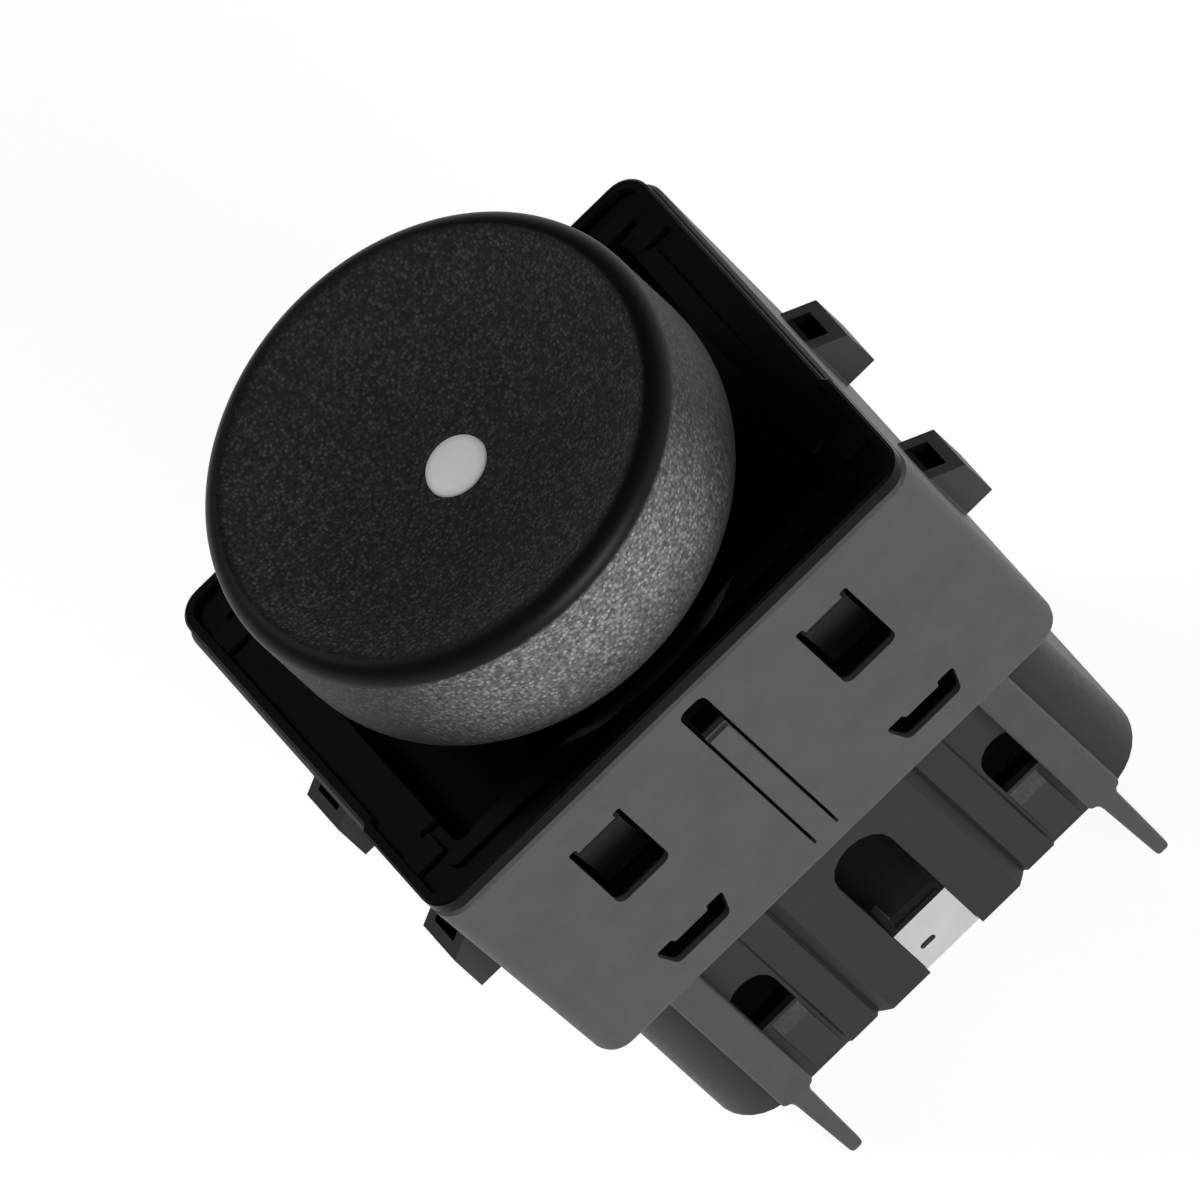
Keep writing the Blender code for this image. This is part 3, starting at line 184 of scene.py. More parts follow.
# Cap's grain
FINE_GRAIN = 0.22 * MM
COARSE_GRAIN = 0.26 * MM
CAP_DRIFT = 3.0 * MM
DISH_SPECK = 0.21 * MM
SKIRT_SPECK = 0.22 * MM
SPECK_RANGE = (0.10, 0.85)
SPECK_POWER = 1.6
GRAIN_DEPTH = 0.03 * MM
FINE_RANGE = (0.42, 0.74)
COARSE_RANGE = (0.40, 0.70)

# Where the cap's finishes meet, in crests below the rim or inside the radius
SKIRT_FADE = (1.1, 0.8)
SKIRT_INSIDE = 0.9
DISH_FADE = (1.35, 0.75)
UNDER_DISH = 1.5

# Cap's greys and gloss
DISH_GREYS = (0.018, 0.030)
DISH_GRAIN_GREY = 0.06
DISH_SPECK_GREY = 0.16
# Painted shade, darkest at the dish's far side
DISH_FAR_SHADE_GREY = 0.008
DISH_FAR_SHADE_MOST = 0.7
DISH_FAR_SHADE_END = 0.7
CREST_GREY = 0.004
SKIRT_GREYS = (0.07, 0.20)
SKIRT_SPECK_GREY = 0.42
# Painted shade low on the skirt and away from its front, so the front keeps painted light
SKIRT_SHADE_GREY = 0.01
SKIRT_SHADE_RISE = (3.0 * MM, 9.0 * MM)
SKIRT_LOW_SHADE_LEAST = 0.08
SKIRT_SIDE_SHADE_FROM = 0.55
SKIRT_SIDE_SHADE_LEAST = 0.25
CAP_SHEEN = 0.12
GRAIN_ROUGHNESS = 0.62
WORN_ROUGHNESS = 0.42
WORN_FLATNESS = 0.85

# Milky lens
LENS_CLOUD = 1.2 * MM
LENS_GREYS = (0.74, 0.84)
LENS_PAINTED_GLOW = 0.19
LENS_RING_FROM = 0.72
LENS_RING_MOST = 0.65
LENS_RING_GREY = 0.30
LENS_ROUGHNESS = 0.38
LENS_RIPPLE = 0.01 * MM

# Circuit board
WEAVE_SCALE = 1200.0
BOARD_GREEN = (0.020, 0.115, 0.050, 1.0)
BOARD_GREEN_PALE = (0.028, 0.140, 0.060, 1.0)
BOARD_GREEN_DARK = (0.015, 0.090, 0.040, 1.0)
BOARD_CLOUD = 0.5 * MM
BOARD_GLOSS = (0.32, 0.46)

# Clear epoxy
EPOXY_CLOUD = 0.8 * MM
EPOXY_DULL = (0.86, 0.87, 0.84, 1.0)
EPOXY_CLEAR = (0.93, 0.94, 0.92, 1.0)
EPOXY_GLOSS = (0.08, 0.16)
EPOXY_TRANSMISSION = 0.85
EPOXY_IOR = 1.52


def shader_node(tree, kind, inputs=None, **settings):
    """Add a node; inputs gives its sockets' values, or the outputs that feed them."""
    node = tree.nodes.new("ShaderNode" + kind)
    for name, value in settings.items():
        setattr(node, name, value)
    for key, value in (inputs or {}).items():
        feed(tree, node.inputs[key], value)
    return node


def feed(tree, socket, value):
    """Set a socket to a value, or link it to an output."""
    if isinstance(value, bpy.types.NodeSocket):
        tree.links.new(value, socket)
    else:
        socket.default_value = value


def new_material(name):
    material = bpy.data.materials.new(name)
    material.use_nodes = True
    tree = material.node_tree
    return material, tree, tree.nodes["Principled BSDF"]


def grey(level):
    return (level, level, level, 1.0)


def shade(colour, factor):
    return (*(channel * factor for channel in colour[:3]), 1.0)


def object_point(tree):
    return shader_node(tree, "TexCoord").outputs["Object"]


def split(tree, point):
    """Outputs for a point's x, y and z."""
    return shader_node(tree, "SeparateXYZ", {0: point}).outputs


def noise(tree, point, size, detail=2.0, roughness=0.5):
    inputs = {"Vector": point, "Scale": 1.0 / size, "Detail": detail, "Roughness": roughness}
    return shader_node(tree, "TexNoise", inputs).outputs[0]


def remap(tree, value, from_low, from_high, to_low, to_high, smooth=False):
    inputs = {0: value, 1: from_low, 2: from_high, 3: to_low, 4: to_high}
    kind = "SMOOTHSTEP" if smooth else "LINEAR"
    return shader_node(tree, "MapRange", inputs, interpolation_type=kind).outputs[0]


def calculate(tree, operation, first, second=0.0):
    return shader_node(tree, "Math", {0: first, 1: second}, operation=operation).outputs[0]


def blend_colours(tree, factor, first, second):
    node = shader_node(tree, "Mix", data_type="RGBA")
    for index, value in ((0, factor), (6, first), (7, second)):
        feed(tree, node.inputs[index], value)
    return node.outputs[2]


def blend_values(tree, factor, first, second):
    return shader_node(tree, "Mix", {0: factor, 2: first, 3: second}, data_type="FLOAT").outputs[0]


def length_across(tree, first, second):
    """Length of the level vector with these two parts."""
    across = shader_node(tree, "CombineXYZ", {0: first, 1: second}).outputs[0]
    return shader_node(tree, "VectorMath", {0: across}, operation="LENGTH").outputs["Value"]


def add_bump(tree, surface, height, depth):
    bump = shader_node(tree, "Bump", {"Height": height, "Distance": depth, "Strength": 1.0})
    tree.links.new(bump.outputs[0], surface.inputs["Normal"])


def depth_inside(tree, parts, half, corner):
    """How far a point lies inside an upright box with rounded corners."""
    reach = []
    for axis in (0, 1):
        size = calculate(tree, "ABSOLUTE", parts[axis])
        over = calculate(tree, "SUBTRACT", size, half[axis] - corner)
        reach.append(calculate(tree, "MAXIMUM", over, 0.0))
    return calculate(tree, "SUBTRACT", corner, length_across(tree, *reach))


def sleeve_painted_shade(tree, point):
    """Painted shade: 1 on the sleeve's inner faces and openings, less on its tabs and legs, 0 on its
    outside.
    """
    parts = split(tree, point)
    deep = remap(tree, depth_inside(tree, parts, SLEEVE_HALF, SLEEVE_CORNER), *SLEEVE_SKIN, 0.0, 1.0)
    inner = calculate(tree, "MULTIPLY", deep, calculate(tree, "GREATER_THAN", parts[2], SLEEVE_LOW))
    aside = calculate(tree, "ABSOLUTE", parts[0])
    places = (aside, calculate(tree, "ABSOLUTE", parts[1]), parts[2])
    pocket = None
    for place, centre, half in zip(places, POCKET_AT, POCKET_HALF):
        within = shader_node(tree, "Math", {0: place, 1: centre, 2: half}, operation="COMPARE").outputs[0]
        pocket = within if pocket is None else calculate(tree, "MULTIPLY", pocket, within)
    tab = calculate(tree, "MULTIPLY", calculate(tree, "GREATER_THAN", aside, TAB_FROM),
                    calculate(tree, "LESS_THAN", parts[2], TAB_TOP))
    tab = calculate(tree, "MULTIPLY", tab, TAB_SHADE)
    leg = calculate(tree, "MULTIPLY", calculate(tree, "LESS_THAN", parts[2], LEG_FROM), LEG_SHADE)
    faint = calculate(tree, "MAXIMUM", tab, leg)
    return calculate(tree, "MAXIMUM", inner, calculate(tree, "MAXIMUM", pocket, faint))


def base_painted_shade(tree, point):
    """Painted shade: 1 on the socket's inner faces and on the latches inside the sleeve, 0 on the
    outside.
    """
    parts = split(tree, point)
    deep = remap(tree, depth_inside(tree, parts, SHROUD_HALF, SHROUD_CORNER), *SHROUD_SKIN, 0.0, 1.0)
    return calculate(tree, "MAXIMUM", deep, calculate(tree, "GREATER_THAN", parts[2], SHROUD_TOP))


def moulded_plastic(name, colour, roughness, grain_size, grain_depth, mottle=0.08, sheen=0.3,
                    painted_shade=None):
    """Moulded plastic: slow shade drift, fine flecks, uneven gloss, a shallow grain and, where a mask is
    given, painted shade.
    """
    material, tree, surface = new_material(name)
    surface.inputs["Specular IOR Level"].default_value = sheen
    point = object_point(tree)
    drift = noise(tree, point, DRIFT_SIZE, detail=4.0, roughness=0.6)
    grain = noise(tree, point, grain_size, detail=4.0, roughness=0.6)
    base = blend_colours(tree, drift, shade(colour, 1 - mottle), shade(colour, 1 + mottle))
    fleck = remap(tree, grain, *FLECK_RANGE, 0.0, FLECK_MOST)
    base = blend_colours(tree, fleck, base, shade(colour, FLECK_PALE))
    # Painted shade: the mask darkens its places and dims their sheen
    if painted_shade is not None:
        inside = painted_shade(tree, point)
        base = blend_colours(tree, inside, base, shade(colour, RECESS_SHADE))
        shaded_sheen = remap(tree, inside, 0.0, 1.0, sheen, RECESS_SHEEN * sheen)
        tree.links.new(shaded_sheen, surface.inputs["Specular IOR Level"])
    tree.links.new(base, surface.inputs["Base Color"])
    gloss = remap(tree, grain, *GRAIN_MIDDLE, roughness - GLOSS_SPREAD, roughness + GLOSS_SPREAD)
    tree.links.new(gloss, surface.inputs["Roughness"])
    add_bump(tree, surface, grain, grain_depth)
    return material


def sheet_metal(name, colour, roughness, draw=(1.0, 1.0, 0.06)):
    """Rolled or drawn metal with fine streaks along one direction."""
    material, tree, surface = new_material(name)
    point = object_point(tree)
    stretched = shader_node(tree, "Mapping", {"Vector": point, "Scale": draw}).outputs[0]
    streak = noise(tree, stretched, STREAK_SIZE, detail=3.0)
    cloud = noise(tree, point, METAL_CLOUD)
    dark, pale = (shade(colour, factor) for factor in METAL_SHADES)
    tree.links.new(blend_colours(tree, cloud, dark, pale), surface.inputs["Base Color"])
    smoother, rougher = (roughness + change for change in METAL_GLOSS)
    tree.links.new(remap(tree, streak, *GRAIN_MIDDLE, smoother, rougher), surface.inputs["Roughness"])
    surface.inputs["Metallic"].default_value = 1.0
    add_bump(tree, surface, streak, STREAK_DEPTH)
    return material


def specks(tree, point, size):
    """Scattered round specks, each with a brightness of its own."""
    cells = shader_node(tree, "TexVoronoi", {"Vector": point, "Scale": 1.0 / size})
    dot = remap(tree, cells.outputs["Distance"], *SPECK_RANGE, 1.0, 0.0, smooth=True)
    own = shader_node(tree, "SeparateColor", {0: cells.outputs["Color"]}).outputs[0]
    return calculate(tree, "MULTIPLY", dot, calculate(tree, "POWER", own, SPECK_POWER))


def dish_colour(tree, point, fine, ahead, radius):
    """Dark dish with paler grain and specks, and painted shade towards the far side."""
    drift = noise(tree, point, CAP_DRIFT)
    dark = blend_colours(tree, drift, grey(DISH_GREYS[0]), grey(DISH_GREYS[1]))
    grain = remap(tree, fine, *FINE_RANGE, 0.0, 1.0)
    dish = blend_colours(tree, grain, dark, grey(DISH_GRAIN_GREY))
    dish = blend_colours(tree, specks(tree, point, DISH_SPECK), dish, grey(DISH_SPECK_GREY))
    # Painted shade towards the far side of the dish
    far_shade = remap(tree, ahead, -radius, DISH_FAR_SHADE_END * radius, DISH_FAR_SHADE_MOST, 0.0)
    return blend_colours(tree, far_shade, dish, grey(DISH_FAR_SHADE_GREY))


def skirt_colour(tree, point, coarse, height, ahead, radius):
    """Paler, coarser skirt with painted shade that darkens it downward and away from the front."""
    grain = remap(tree, coarse, *COARSE_RANGE, 0.0, 1.0)
    wall = blend_colours(tree, grain, grey(SKIRT_GREYS[0]), grey(SKIRT_GREYS[1]))
    wall = blend_colours(tree, specks(tree, point, SKIRT_SPECK), wall, grey(SKIRT_SPECK_GREY))
    # Painted shade under the skirt's turn and away from its front
    lit = remap(tree, height, *SKIRT_SHADE_RISE, SKIRT_LOW_SHADE_LEAST, 1.0, smooth=True)
    front = remap(tree, ahead, SKIRT_SIDE_SHADE_FROM * radius, radius, SKIRT_SIDE_SHADE_LEAST, 1.0, smooth=True)
    return blend_colours(tree, calculate(tree, "MULTIPLY", lit, front), grey(SKIRT_SHADE_GREY), wall)


def cap_material(radius, rim_top):
    """Grained cap: fine grain in the dish, worn smooth crest, coarser paler grain on the skirt, with
    painted shade on the dish's far side and on the skirt's lower and rear parts.
    """
    material, tree, surface = new_material("grained_cap")
    point = object_point(tree)
    parts = split(tree, point)
    away = length_across(tree, parts[0], parts[1])
    height = parts[2]
    ahead = calculate(tree, "MULTIPLY", parts[1], -1.0)
    low = remap(tree, height, rim_top - SKIRT_FADE[0] * CREST, rim_top - SKIRT_FADE[1] * CREST,
                1.0, 0.0, smooth=True)
    outer = calculate(tree, "GREATER_THAN", away, radius - SKIRT_INSIDE * CREST)
    below = calculate(tree, "LESS_THAN", height, rim_top - UNDER_DISH * DISH_DEPTH)
    skirt = calculate(tree, "MULTIPLY", low, calculate(tree, "MAXIMUM", outer, below))
    in_dish = remap(tree, away, radius - DISH_FADE[0] * CREST, radius - DISH_FADE[1] * CREST,
                    1.0, 0.0, smooth=True)
    coarse = noise(tree, point, COARSE_GRAIN, detail=3.0, roughness=0.55)
    fine = noise(tree, point, FINE_GRAIN, detail=3.0, roughness=0.6)
    dish = dish_colour(tree, point, fine, ahead, radius)
    dish = blend_colours(tree, in_dish, grey(CREST_GREY), dish)
    wall = skirt_colour(tree, point, coarse, height, ahead, radius)
    tree.links.new(blend_colours(tree, skirt, dish, wall), surface.inputs["Base Color"])
    surface.inputs["Specular IOR Level"].default_value = CAP_SHEEN
    worn = calculate(tree, "SUBTRACT", 1.0, calculate(tree, "MAXIMUM", skirt, in_dish))
    gloss = remap(tree, worn, 0.0, 1.0, GRAIN_ROUGHNESS, WORN_ROUGHNESS)
    tree.links.new(gloss, surface.inputs["Roughness"])
    kept = calculate(tree, "SUBTRACT", 1.0, calculate(tree, "MULTIPLY", worn, WORN_FLATNESS))
    relief = calculate(tree, "MULTIPLY", blend_values(tree, skirt, fine, coarse), kept)
    add_bump(tree, surface, relief, GRAIN_DEPTH)
    return material


def lens_material(radius):
    """Milky diffuser, a little darker in a soft ring at its edge, with a faint painted glow."""
    material, tree, surface = new_material("milky_lens")
    point = object_point(tree)
    parts = split(tree, point)
    away = length_across(tree, parts[0], parts[1])
    cloud = noise(tree, point, LENS_CLOUD, detail=3.0)
    core = blend_colours(tree, cloud, grey(LENS_GREYS[0]), grey(LENS_GREYS[1]))
    ring = remap(tree, away, LENS_RING_FROM * radius, radius, 0.0, LENS_RING_MOST, smooth=True)
    base = blend_colours(tree, ring, core, grey(LENS_RING_GREY))
    tree.links.new(base, surface.inputs["Base Color"])
    # Painted light: a faint glow makes the unlit lens paler
    surface.inputs["Emission Color"].default_value = grey(1.0)
    surface.inputs["Emission Strength"].default_value = LENS_PAINTED_GLOW
    surface.inputs["Roughness"].default_value = LENS_ROUGHNESS
    add_bump(tree, surface, cloud, LENS_RIPPLE)
    return material


def board_material():
    """Coated green laminate whose weave shows faintly."""
    material, tree, surface = new_material("circuit_board")
    point = object_point(tree)
    weave = shader_node(tree, "TexBrick", {"Vector": point, "Scale": WEAVE_SCALE,
                                           "Color1": BOARD_GREEN, "Color2": BOARD_GREEN_PALE,
                                           "Mortar": BOARD_GREEN_DARK})
    tree.links.new(weave.outputs["Color"], surface.inputs["Base Color"])
    gloss = remap(tree, noise(tree, point, BOARD_CLOUD), *GRAIN_MIDDLE, *BOARD_GLOSS)
    tree.links.new(gloss, surface.inputs["Roughness"])
    return material


def epoxy_material():
    """Clear epoxy with faint haze."""
    material, tree, surface = new_material("clear_epoxy")
    cloud = noise(tree, object_point(tree), EPOXY_CLOUD)
    base = blend_colours(tree, cloud, EPOXY_DULL, EPOXY_CLEAR)
    tree.links.new(base, surface.inputs["Base Color"])
    tree.links.new(remap(tree, cloud, *GRAIN_MIDDLE, *EPOXY_GLOSS), surface.inputs["Roughness"])
    surface.inputs["Transmission Weight"].default_value = EPOXY_TRANSMISSION
    surface.inputs["IOR"].default_value = EPOXY_IOR
    return material


def mesh_object(name, bm, material, body, smooth_angle=40):
    """Turn a bmesh into a smooth-shaded piece that rides on a body."""
    bmesh.ops.recalc_face_normals(bm, faces=bm.faces)
    mesh = bpy.data.meshes.new(name)
    bm.to_mesh(mesh)
    bm.free()
    mesh.shade_smooth()
    mesh.set_sharp_from_angle(angle=radians(smooth_angle))
    mesh.materials.append(material)
    piece = bpy.data.objects.new(name, mesh)
    bpy.context.scene.collection.objects.link(piece)
    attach(piece, body)
    return piece


def turned(profile, steps):
    """Revolve a closed (radius, height) profile about the button's axis."""
    bm = bmesh.new()
    rows = []
    turn = [2 * pi * k / steps for k in range(steps)]
    for radius, height in profile:
        if radius <= 0:
            rows.append([bm.verts.new((0, 0, height))])
        else:
            rows.append([bm.verts.new((radius * cos(a), radius * sin(a), height)) for a in turn])
    for lower, upper in zip(rows, rows[1:] + rows[:1]):
        for k in range(steps):
            n = (k + 1) % steps
            if len(lower) == 1 and len(upper) == 1:
                break
            if len(lower) == 1:
                bm.faces.new((lower[0], upper[k], upper[n]))
            elif len(upper) == 1:
                bm.faces.new((lower[k], lower[n], upper[0]))
            else:
                bm.faces.new((lower[k], lower[n], upper[n], upper[k]))
    return bm


def arc(u, v, radius_u, radius_v, start, end, steps):
    """Points on an elliptical arc about (u, v), angles in degrees."""
    angles = [radians(start + (end - start) * k / steps) for k in range(steps + 1)]
    return [(u + radius_u * cos(a), v + radius_v * sin(a)) for a in angles]


def make_cap():
    low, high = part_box("button_cap")
    lens_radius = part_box("indicator_lens")[1].x
    radius, rim_top, bottom = high.x, high.z, low.z
    bore = lens_radius + BORE_GAP
    crest = radius - CREST
    inner = radius - CAP_WALL
    centre = rim_top - DISH_DEPTH

    def dish(distance):
        return centre + DISH_DEPTH * min(distance / crest, 1.0) ** DISH_POWER

    start = bore + BORE_EDGE
    radii = [start + (crest - start) * k / DISH_STEPS for k in range(DISH_STEPS + 1)]
    edge = arc(start, dish(start) - BORE_EDGE, BORE_EDGE, BORE_EDGE, 180, 90, BORE_STEPS)[:-1]
    top = edge + [(distance, dish(distance)) for distance in radii]
    over = arc(crest, rim_top - CREST, CREST, CREST, 90, 0, BEND_STEPS)[1:]
    lip = radius - TUCK
    tuck = arc(lip, TURN_HEIGHT, TUCK, TURN_HEIGHT - bottom, 0, -90, BEND_STEPS)
    inside = lip - LIP_WIDTH
    inner_tuck = arc(inside, TURN_HEIGHT, inner - inside, TURN_HEIGHT - bottom, -90, 0, INNER_STEPS)
    shoulder = dish(inner) - CAP_WALL - CREST / 2
    collar_top = centre - CAP_WALL
    collar = COLLAR_BORE + COLLAR_WALL
    boss = bore + BOSS_WALL
    under = [(inner, shoulder - CREST), (inner - CREST, shoulder), (collar, collar_top + BORE_GAP),
             (collar, COLLAR_END), (COLLAR_BORE, COLLAR_END), (COLLAR_BORE, collar_top),
             (boss, collar_top), (boss, BOSS_END), (bore, BOSS_END)]
    bm = turned(top + over + tuck + inner_tuck + under, CAP_STEPS)
    cap = mesh_object("button_cap_shell", bm, cap_material(radius, rim_top), "button")
    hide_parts("button_cap")


def make_lens():
    low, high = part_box("indicator_lens")
    radius, top, end = high.x, high.z, low.z
    head_end = top - LENS_HEAD
    shares = [k / DOME_STEPS for k in range(DOME_STEPS - 1)]
    dome = [(radius * share, top - LENS_CROWN * share ** 2) for share in shares]
    shoulder = arc(radius - LENS_EDGE, top - LENS_CROWN - LENS_EDGE, LENS_EDGE, LENS_EDGE, 80, 0,
                   SHOULDER_STEPS)
    profile = dome + shoulder + [(radius, head_end), (PIPE_RADIUS, head_end - LENS_EDGE),
                                 (PIPE_RADIUS, end + LENS_EDGE), (PIPE_RADIUS - LENS_EDGE, end),
                                 (0, end)]
    bm = turned(profile, LENS_STEPS)
    lens = mesh_object("indicator_window", bm, lens_material(radius), "button")
    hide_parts("indicator_lens")


def make_spring():
    """Round-wire coil with closed ends."""
    low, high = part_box("return_spring")
    foot, head = low.z + WIRE_RADIUS, high.z - WIRE_RADIUS
    radius = high.x - WIRE_RADIUS
    live_turns = SPRING_TURNS - 2 * DEAD_TURNS
    live_rise = head - foot - 2 * DEAD_TURNS * DEAD_PITCH
    bm = bmesh.new()
    rings = []
    for k in range(int(SPRING_TURNS * COIL_STEPS) + 1):
        turns = k / COIL_STEPS
        live = min(max(turns - DEAD_TURNS, 0.0), live_turns)
        height = foot + (turns - live) * DEAD_PITCH + live_rise * live / live_turns
        ring = []
        for m in range(WIRE_STEPS):
            angle = 2 * pi * m / WIRE_STEPS
            reach = radius + WIRE_RADIUS * cos(angle)
            ring.append(bm.verts.new((reach * cos(2 * pi * turns), reach * sin(2 * pi * turns),
                                      height + WIRE_RADIUS * sin(angle))))
        rings.append(ring)
    for lower, upper in zip(rings, rings[1:]):
        for m in range(WIRE_STEPS):
            n = (m + 1) % WIRE_STEPS
            bm.faces.new((lower[m], lower[n], upper[n], upper[m]))
    bm.faces.new(rings[0])
    bm.faces.new(rings[-1])
    wire = sheet_metal("spring_wire", colour=(0.50, 0.50, 0.52), roughness=0.30)
    spring = mesh_object("coil_spring", bm, wire, "housing", smooth_angle=60)
    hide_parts("return_spring")
    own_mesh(spring)


def edge_group():
    """Geometry nodes that shade all faces smooth and keep edges over an angle sharp."""
    group = bpy.data.node_groups.new("smooth_by_angle", "GeometryNodeTree")
    group.interface.new_socket("Geometry", in_out="INPUT", socket_type="NodeSocketGeometry")
    group.interface.new_socket("Geometry", in_out="OUTPUT", socket_type="NodeSocketGeometry")
    start = group.nodes.new("NodeGroupInput")
    end = group.nodes.new("NodeGroupOutput")
    faces = group.nodes.new("GeometryNodeSetShadeSmooth")
    edges = group.nodes.new("GeometryNodeSetShadeSmooth")
    edges.domain = "EDGE"
    edges.inputs["Shade Smooth"].default_value = False
    angle = group.nodes.new("GeometryNodeInputMeshEdgeAngle")
    over = group.nodes.new("ShaderNodeMath")
    over.operation = "GREATER_THAN"
    over.inputs[1].default_value = SHARP_OVER
    link = group.links.new
    link(start.outputs[0], faces.inputs["Geometry"])
    link(faces.outputs[0], edges.inputs["Geometry"])
    link(angle.outputs["Unsigned Angle"], over.inputs[0])
    link(over.outputs[0], edges.inputs["Selection"])
    link(edges.outputs[0], end.inputs[0])
    return group


def dress(piece, material, edge, group):
    """Give a carried-over node or a piece its finish, smooth shading and, if edge > 0, bevels."""
    piece.data.materials.clear()
    piece.data.materials.append(material)
    weld = piece.modifiers.new("weld", "WELD")
    weld.merge_threshold = WELD_WITHIN
    if edge:
        flat = piece.modifiers.new("flat", "DECIMATE")
        flat.decimate_type = "DISSOLVE"
        flat.angle_limit = FLAT_WITHIN
        bevel = piece.modifiers.new("edge", "BEVEL")
        bevel.width = edge
        bevel.segments = 2
        bevel.limit_method = "ANGLE"
        bevel.angle_limit = SHARP_OVER
        bevel.use_clamp_overlap = False
        bevel.harden_normals = False
    smooth = piece.modifiers.new("smooth", "NODES")
    smooth.node_group = group
    level = piece.modifiers.new("level", "WEIGHTED_NORMAL")
    level.keep_sharp = True
    level.weight = NORMAL_WEIGHT


def make_clip(group):
    """Clip in the form of its solid, with a plate that fills the arch."""
    bm = bmesh.new()
    bm.from_mesh(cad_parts["shroud_clip"].data)
    bmesh.ops.remove_doubles(bm, verts=bm.verts, dist=WELD_WITHIN)
    for vert in bm.verts:
        if abs(vert.co.x) < PLATE_HALF:
            vert.co.x *= PLATE_STRETCH
    tin = sheet_metal("clip_tin", colour=(0.58, 0.58, 0.57), roughness=0.45)
    clip = mesh_object("clip_plate", bm, tin, "housing")
    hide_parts("shroud_clip")
    dress(clip, tin, STAMPED_EDGE, group)


def dress_nodes(group):
    """Finish every carried-over node."""
    shell = moulded_plastic("grey_shell", colour=(0.070, 0.070, 0.071), roughness=0.50,
                            grain_size=0.25 * MM, grain_depth=0.012 * MM, mottle=0.2,
                            painted_shade=sleeve_painted_shade)
    gloss = moulded_plastic("black_frame", colour=(0.002, 0.002, 0.002), roughness=0.34,
                            grain_size=0.3 * MM, grain_depth=0.004 * MM, sheen=0.08)
    base = moulded_plastic("dark_grey_base", colour=(0.020, 0.020, 0.021), roughness=0.46,
                           grain_size=0.3 * MM, grain_depth=0.008 * MM, mottle=0.2, sheen=0.2,
                           painted_shade=base_painted_shade)
    matte = moulded_plastic("black_inner", colour=(0.015, 0.015, 0.015), roughness=0.60,
                            grain_size=0.25 * MM, grain_depth=0.010 * MM)
    acetal = moulded_plastic("natural_acetal", colour=(0.62, 0.61, 0.57), roughness=0.42,
                             grain_size=0.4 * MM, grain_depth=0.004 * MM, mottle=0.03)
    tin = sheet_metal("tin_plate", colour=(0.74, 0.74, 0.73), roughness=0.30)
    silver = sheet_metal("silver_contact", colour=(0.80, 0.80, 0.78), roughness=0.26)
    copper = sheet_metal("copper_strip", colour=(0.72, 0.40, 0.24), roughness=0.30,
                         draw=(1.0, 0.06, 1.0))
    finishes = {"sleeve_housing": (shell, 0.0), "bezel_frame": (gloss, 0.0),
                "terminal_base": (base, 0.0), "contact_carrier": (matte, MOULDED_EDGE),
                "led_resistor": (matte, 0.0), "circuit_board": (board_material(), 0.0),
                "indicator_led": (epoxy_material(), 0.0), "plunger": (acetal, MOULDED_EDGE),
                "contact_bridge_left": (copper, STAMPED_EDGE),
                "contact_bridge_right": (copper, STAMPED_EDGE)}
    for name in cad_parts:
        if name.startswith("terminal_") and name != "terminal_base":
            finishes[name] = (tin, BLADE_EDGE)
        if name.startswith("fixed_contact"):
            finishes[name] = (silver, 0.0)
    for name, (material, edge) in finishes.items():
        dress(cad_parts[name], material, edge, group)


def make_floor():
    """Pale floor that stays white to the eye and keeps a light shadow."""
    level = CAD_BOX[0].z - FLOOR_GAP
    bm = bmesh.new()
    corners = [(-1, -1), (1, -1), (1, 1), (-1, 1)]
    bm.faces.new([bm.verts.new((x * FLOOR_HALF, y * FLOOR_HALF, level)) for x, y in corners])
    mesh = bpy.data.meshes.new("floor")
    bm.to_mesh(mesh)
    bm.free()
    floor = bpy.data.objects.new("floor", mesh)
    bpy.context.scene.collection.objects.link(floor)
    material, tree, surface = new_material("pale_floor")
    tree.nodes.remove(surface)
    path = shader_node(tree, "LightPath")
    seen = calculate(tree, "MAXIMUM", path.outputs["Is Camera Ray"], path.outputs["Is Glossy Ray"])
    seen = calculate(tree, "MAXIMUM", seen, path.outputs["Is Transmission Ray"])
    plain = shader_node(tree, "BsdfDiffuse", {"Color": grey(FLOOR_GREY)})
    faint = shader_node(tree, "BsdfDiffuse", {"Color": grey(FLOOR_SHADOW_GREY)})
    white = shader_node(tree, "Emission", {"Color": grey(1.0), "Strength": FLOOR_SEEN})
    shown = shader_node(tree, "AddShader", {0: faint.outputs[0], 1: white.outputs[0]})
    mix = shader_node(tree, "MixShader", {0: seen, 1: plain.outputs[0], 2: shown.outputs[0]})
    tree.links.new(mix.outputs[0], tree.nodes["Material Output"].inputs["Surface"])
    mesh.materials.append(material)


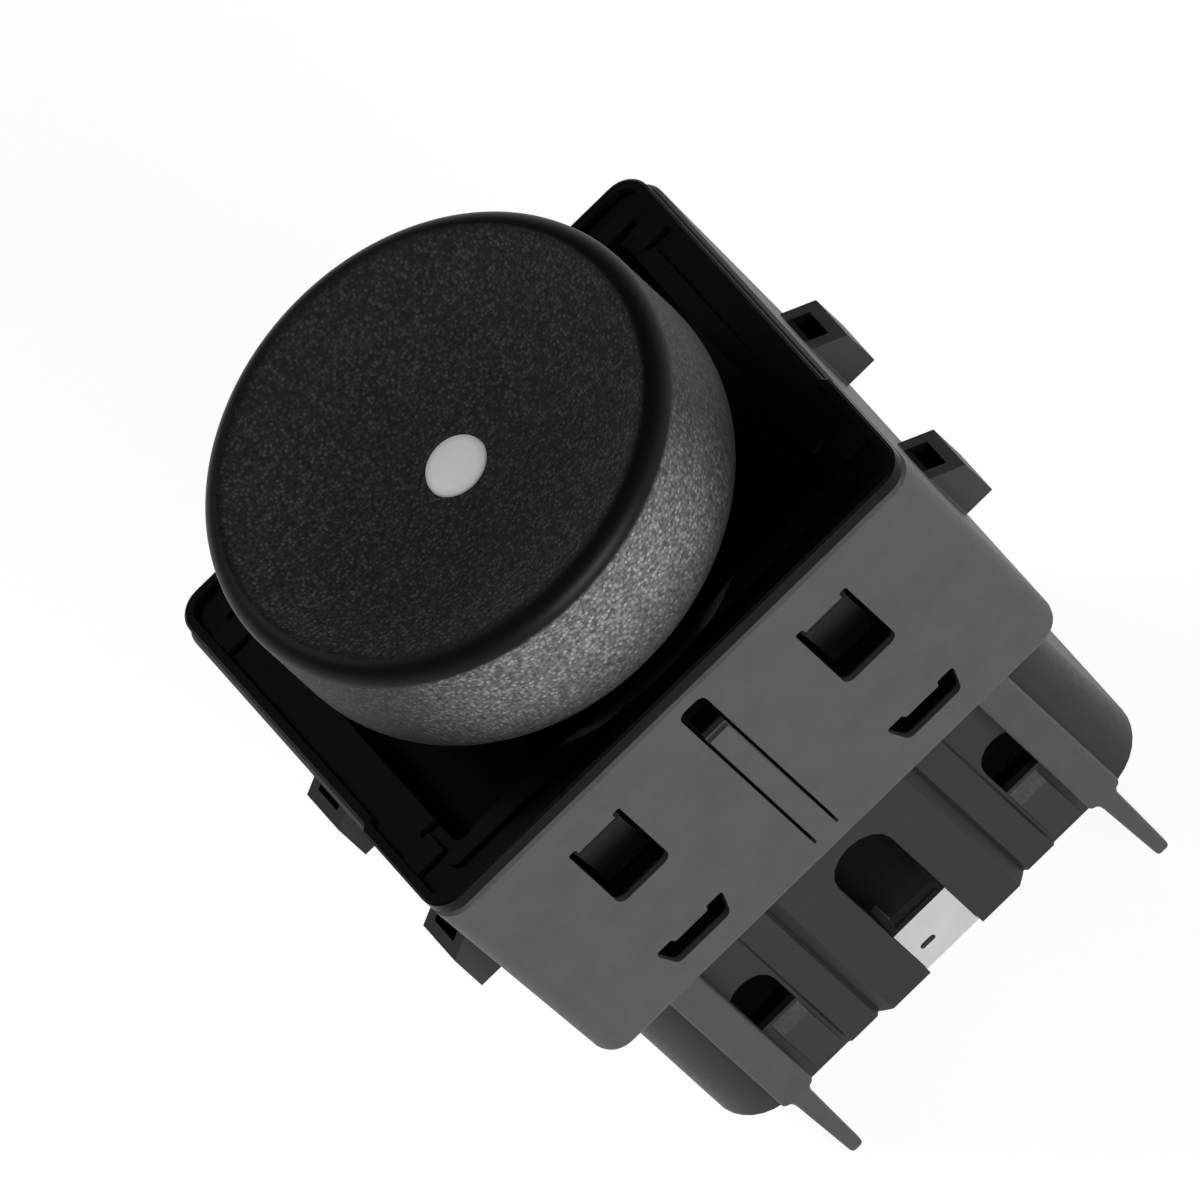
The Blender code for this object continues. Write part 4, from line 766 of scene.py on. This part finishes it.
def make_world():
    """Even light round the horizon that fades to a dark ceiling; white to the eye."""
    world = bpy.data.worlds.new("studio")
    bpy.context.scene.world = world
    world.use_nodes = True
    tree = world.node_tree
    rise = split(tree, shader_node(tree, "TexCoord").outputs["Generated"])[2]
    level = remap(tree, rise, *WORLD_FADE, WORLD_LOW, WORLD_HIGH, smooth=True)
    seen = shader_node(tree, "LightPath").outputs["Is Camera Ray"]
    background = tree.nodes["Background"]
    background.inputs["Color"].default_value = grey(1.0)
    tree.links.new(blend_values(tree, seen, level, WORLD_SEEN), background.inputs["Strength"])


def make_lamp(name, place, size, power):
    """Soft rectangular lamp aimed at the switch."""
    data = bpy.data.lights.new(name, "AREA")
    data.shape = "RECTANGLE"
    data.size, data.size_y = size
    data.energy = power
    lamp = bpy.data.objects.new(name, data)
    bpy.context.scene.collection.objects.link(lamp)
    lamp.location = place
    aim = (CAD_BOX[0] + CAD_BOX[1]) / 2
    lamp.rotation_euler = (aim - Vector(place)).to_track_quat("-Z", "Y").to_euler()


def make_camera():
    azimuth, elevation = CAMERA_AZIMUTH, CAMERA_ELEVATION
    back = Vector((sin(azimuth) * cos(elevation), -cos(azimuth) * cos(elevation), sin(elevation)))
    right = Vector((cos(azimuth), sin(azimuth), 0))
    up = back.cross(right)
    across = cos(PICTURE_TURN) * right - sin(PICTURE_TURN) * up
    above = sin(PICTURE_TURN) * right + cos(PICTURE_TURN) * up
    data = bpy.data.cameras.new("camera")
    data.sensor_width = SENSOR_WIDTH
    data.lens = SENSOR_WIDTH * FOCAL_PIXELS / PHOTO_SIDE
    data.clip_end = 10 * CAMERA_DISTANCE
    camera = bpy.data.objects.new("camera", data)
    bpy.context.scene.collection.objects.link(camera)
    place = AIM_RIGHT * right + AIM_UP * up + CAMERA_DISTANCE * back
    turn = Matrix((across, above, back)).transposed()
    camera.matrix_world = Matrix.Translation(place) @ turn.to_4x4()
    bpy.context.scene.camera = camera


make_camera()
make_floor()
make_world()
make_lamp("front_lamp", *FRONT_LAMP)
make_lamp("back_lamp", *BACK_LAMP)
make_cap()
make_lens()
make_spring()
smoothing = edge_group()
dress_nodes(smoothing)
make_clip(smoothing)
bpy.context.scene.view_settings.view_transform = "Standard"
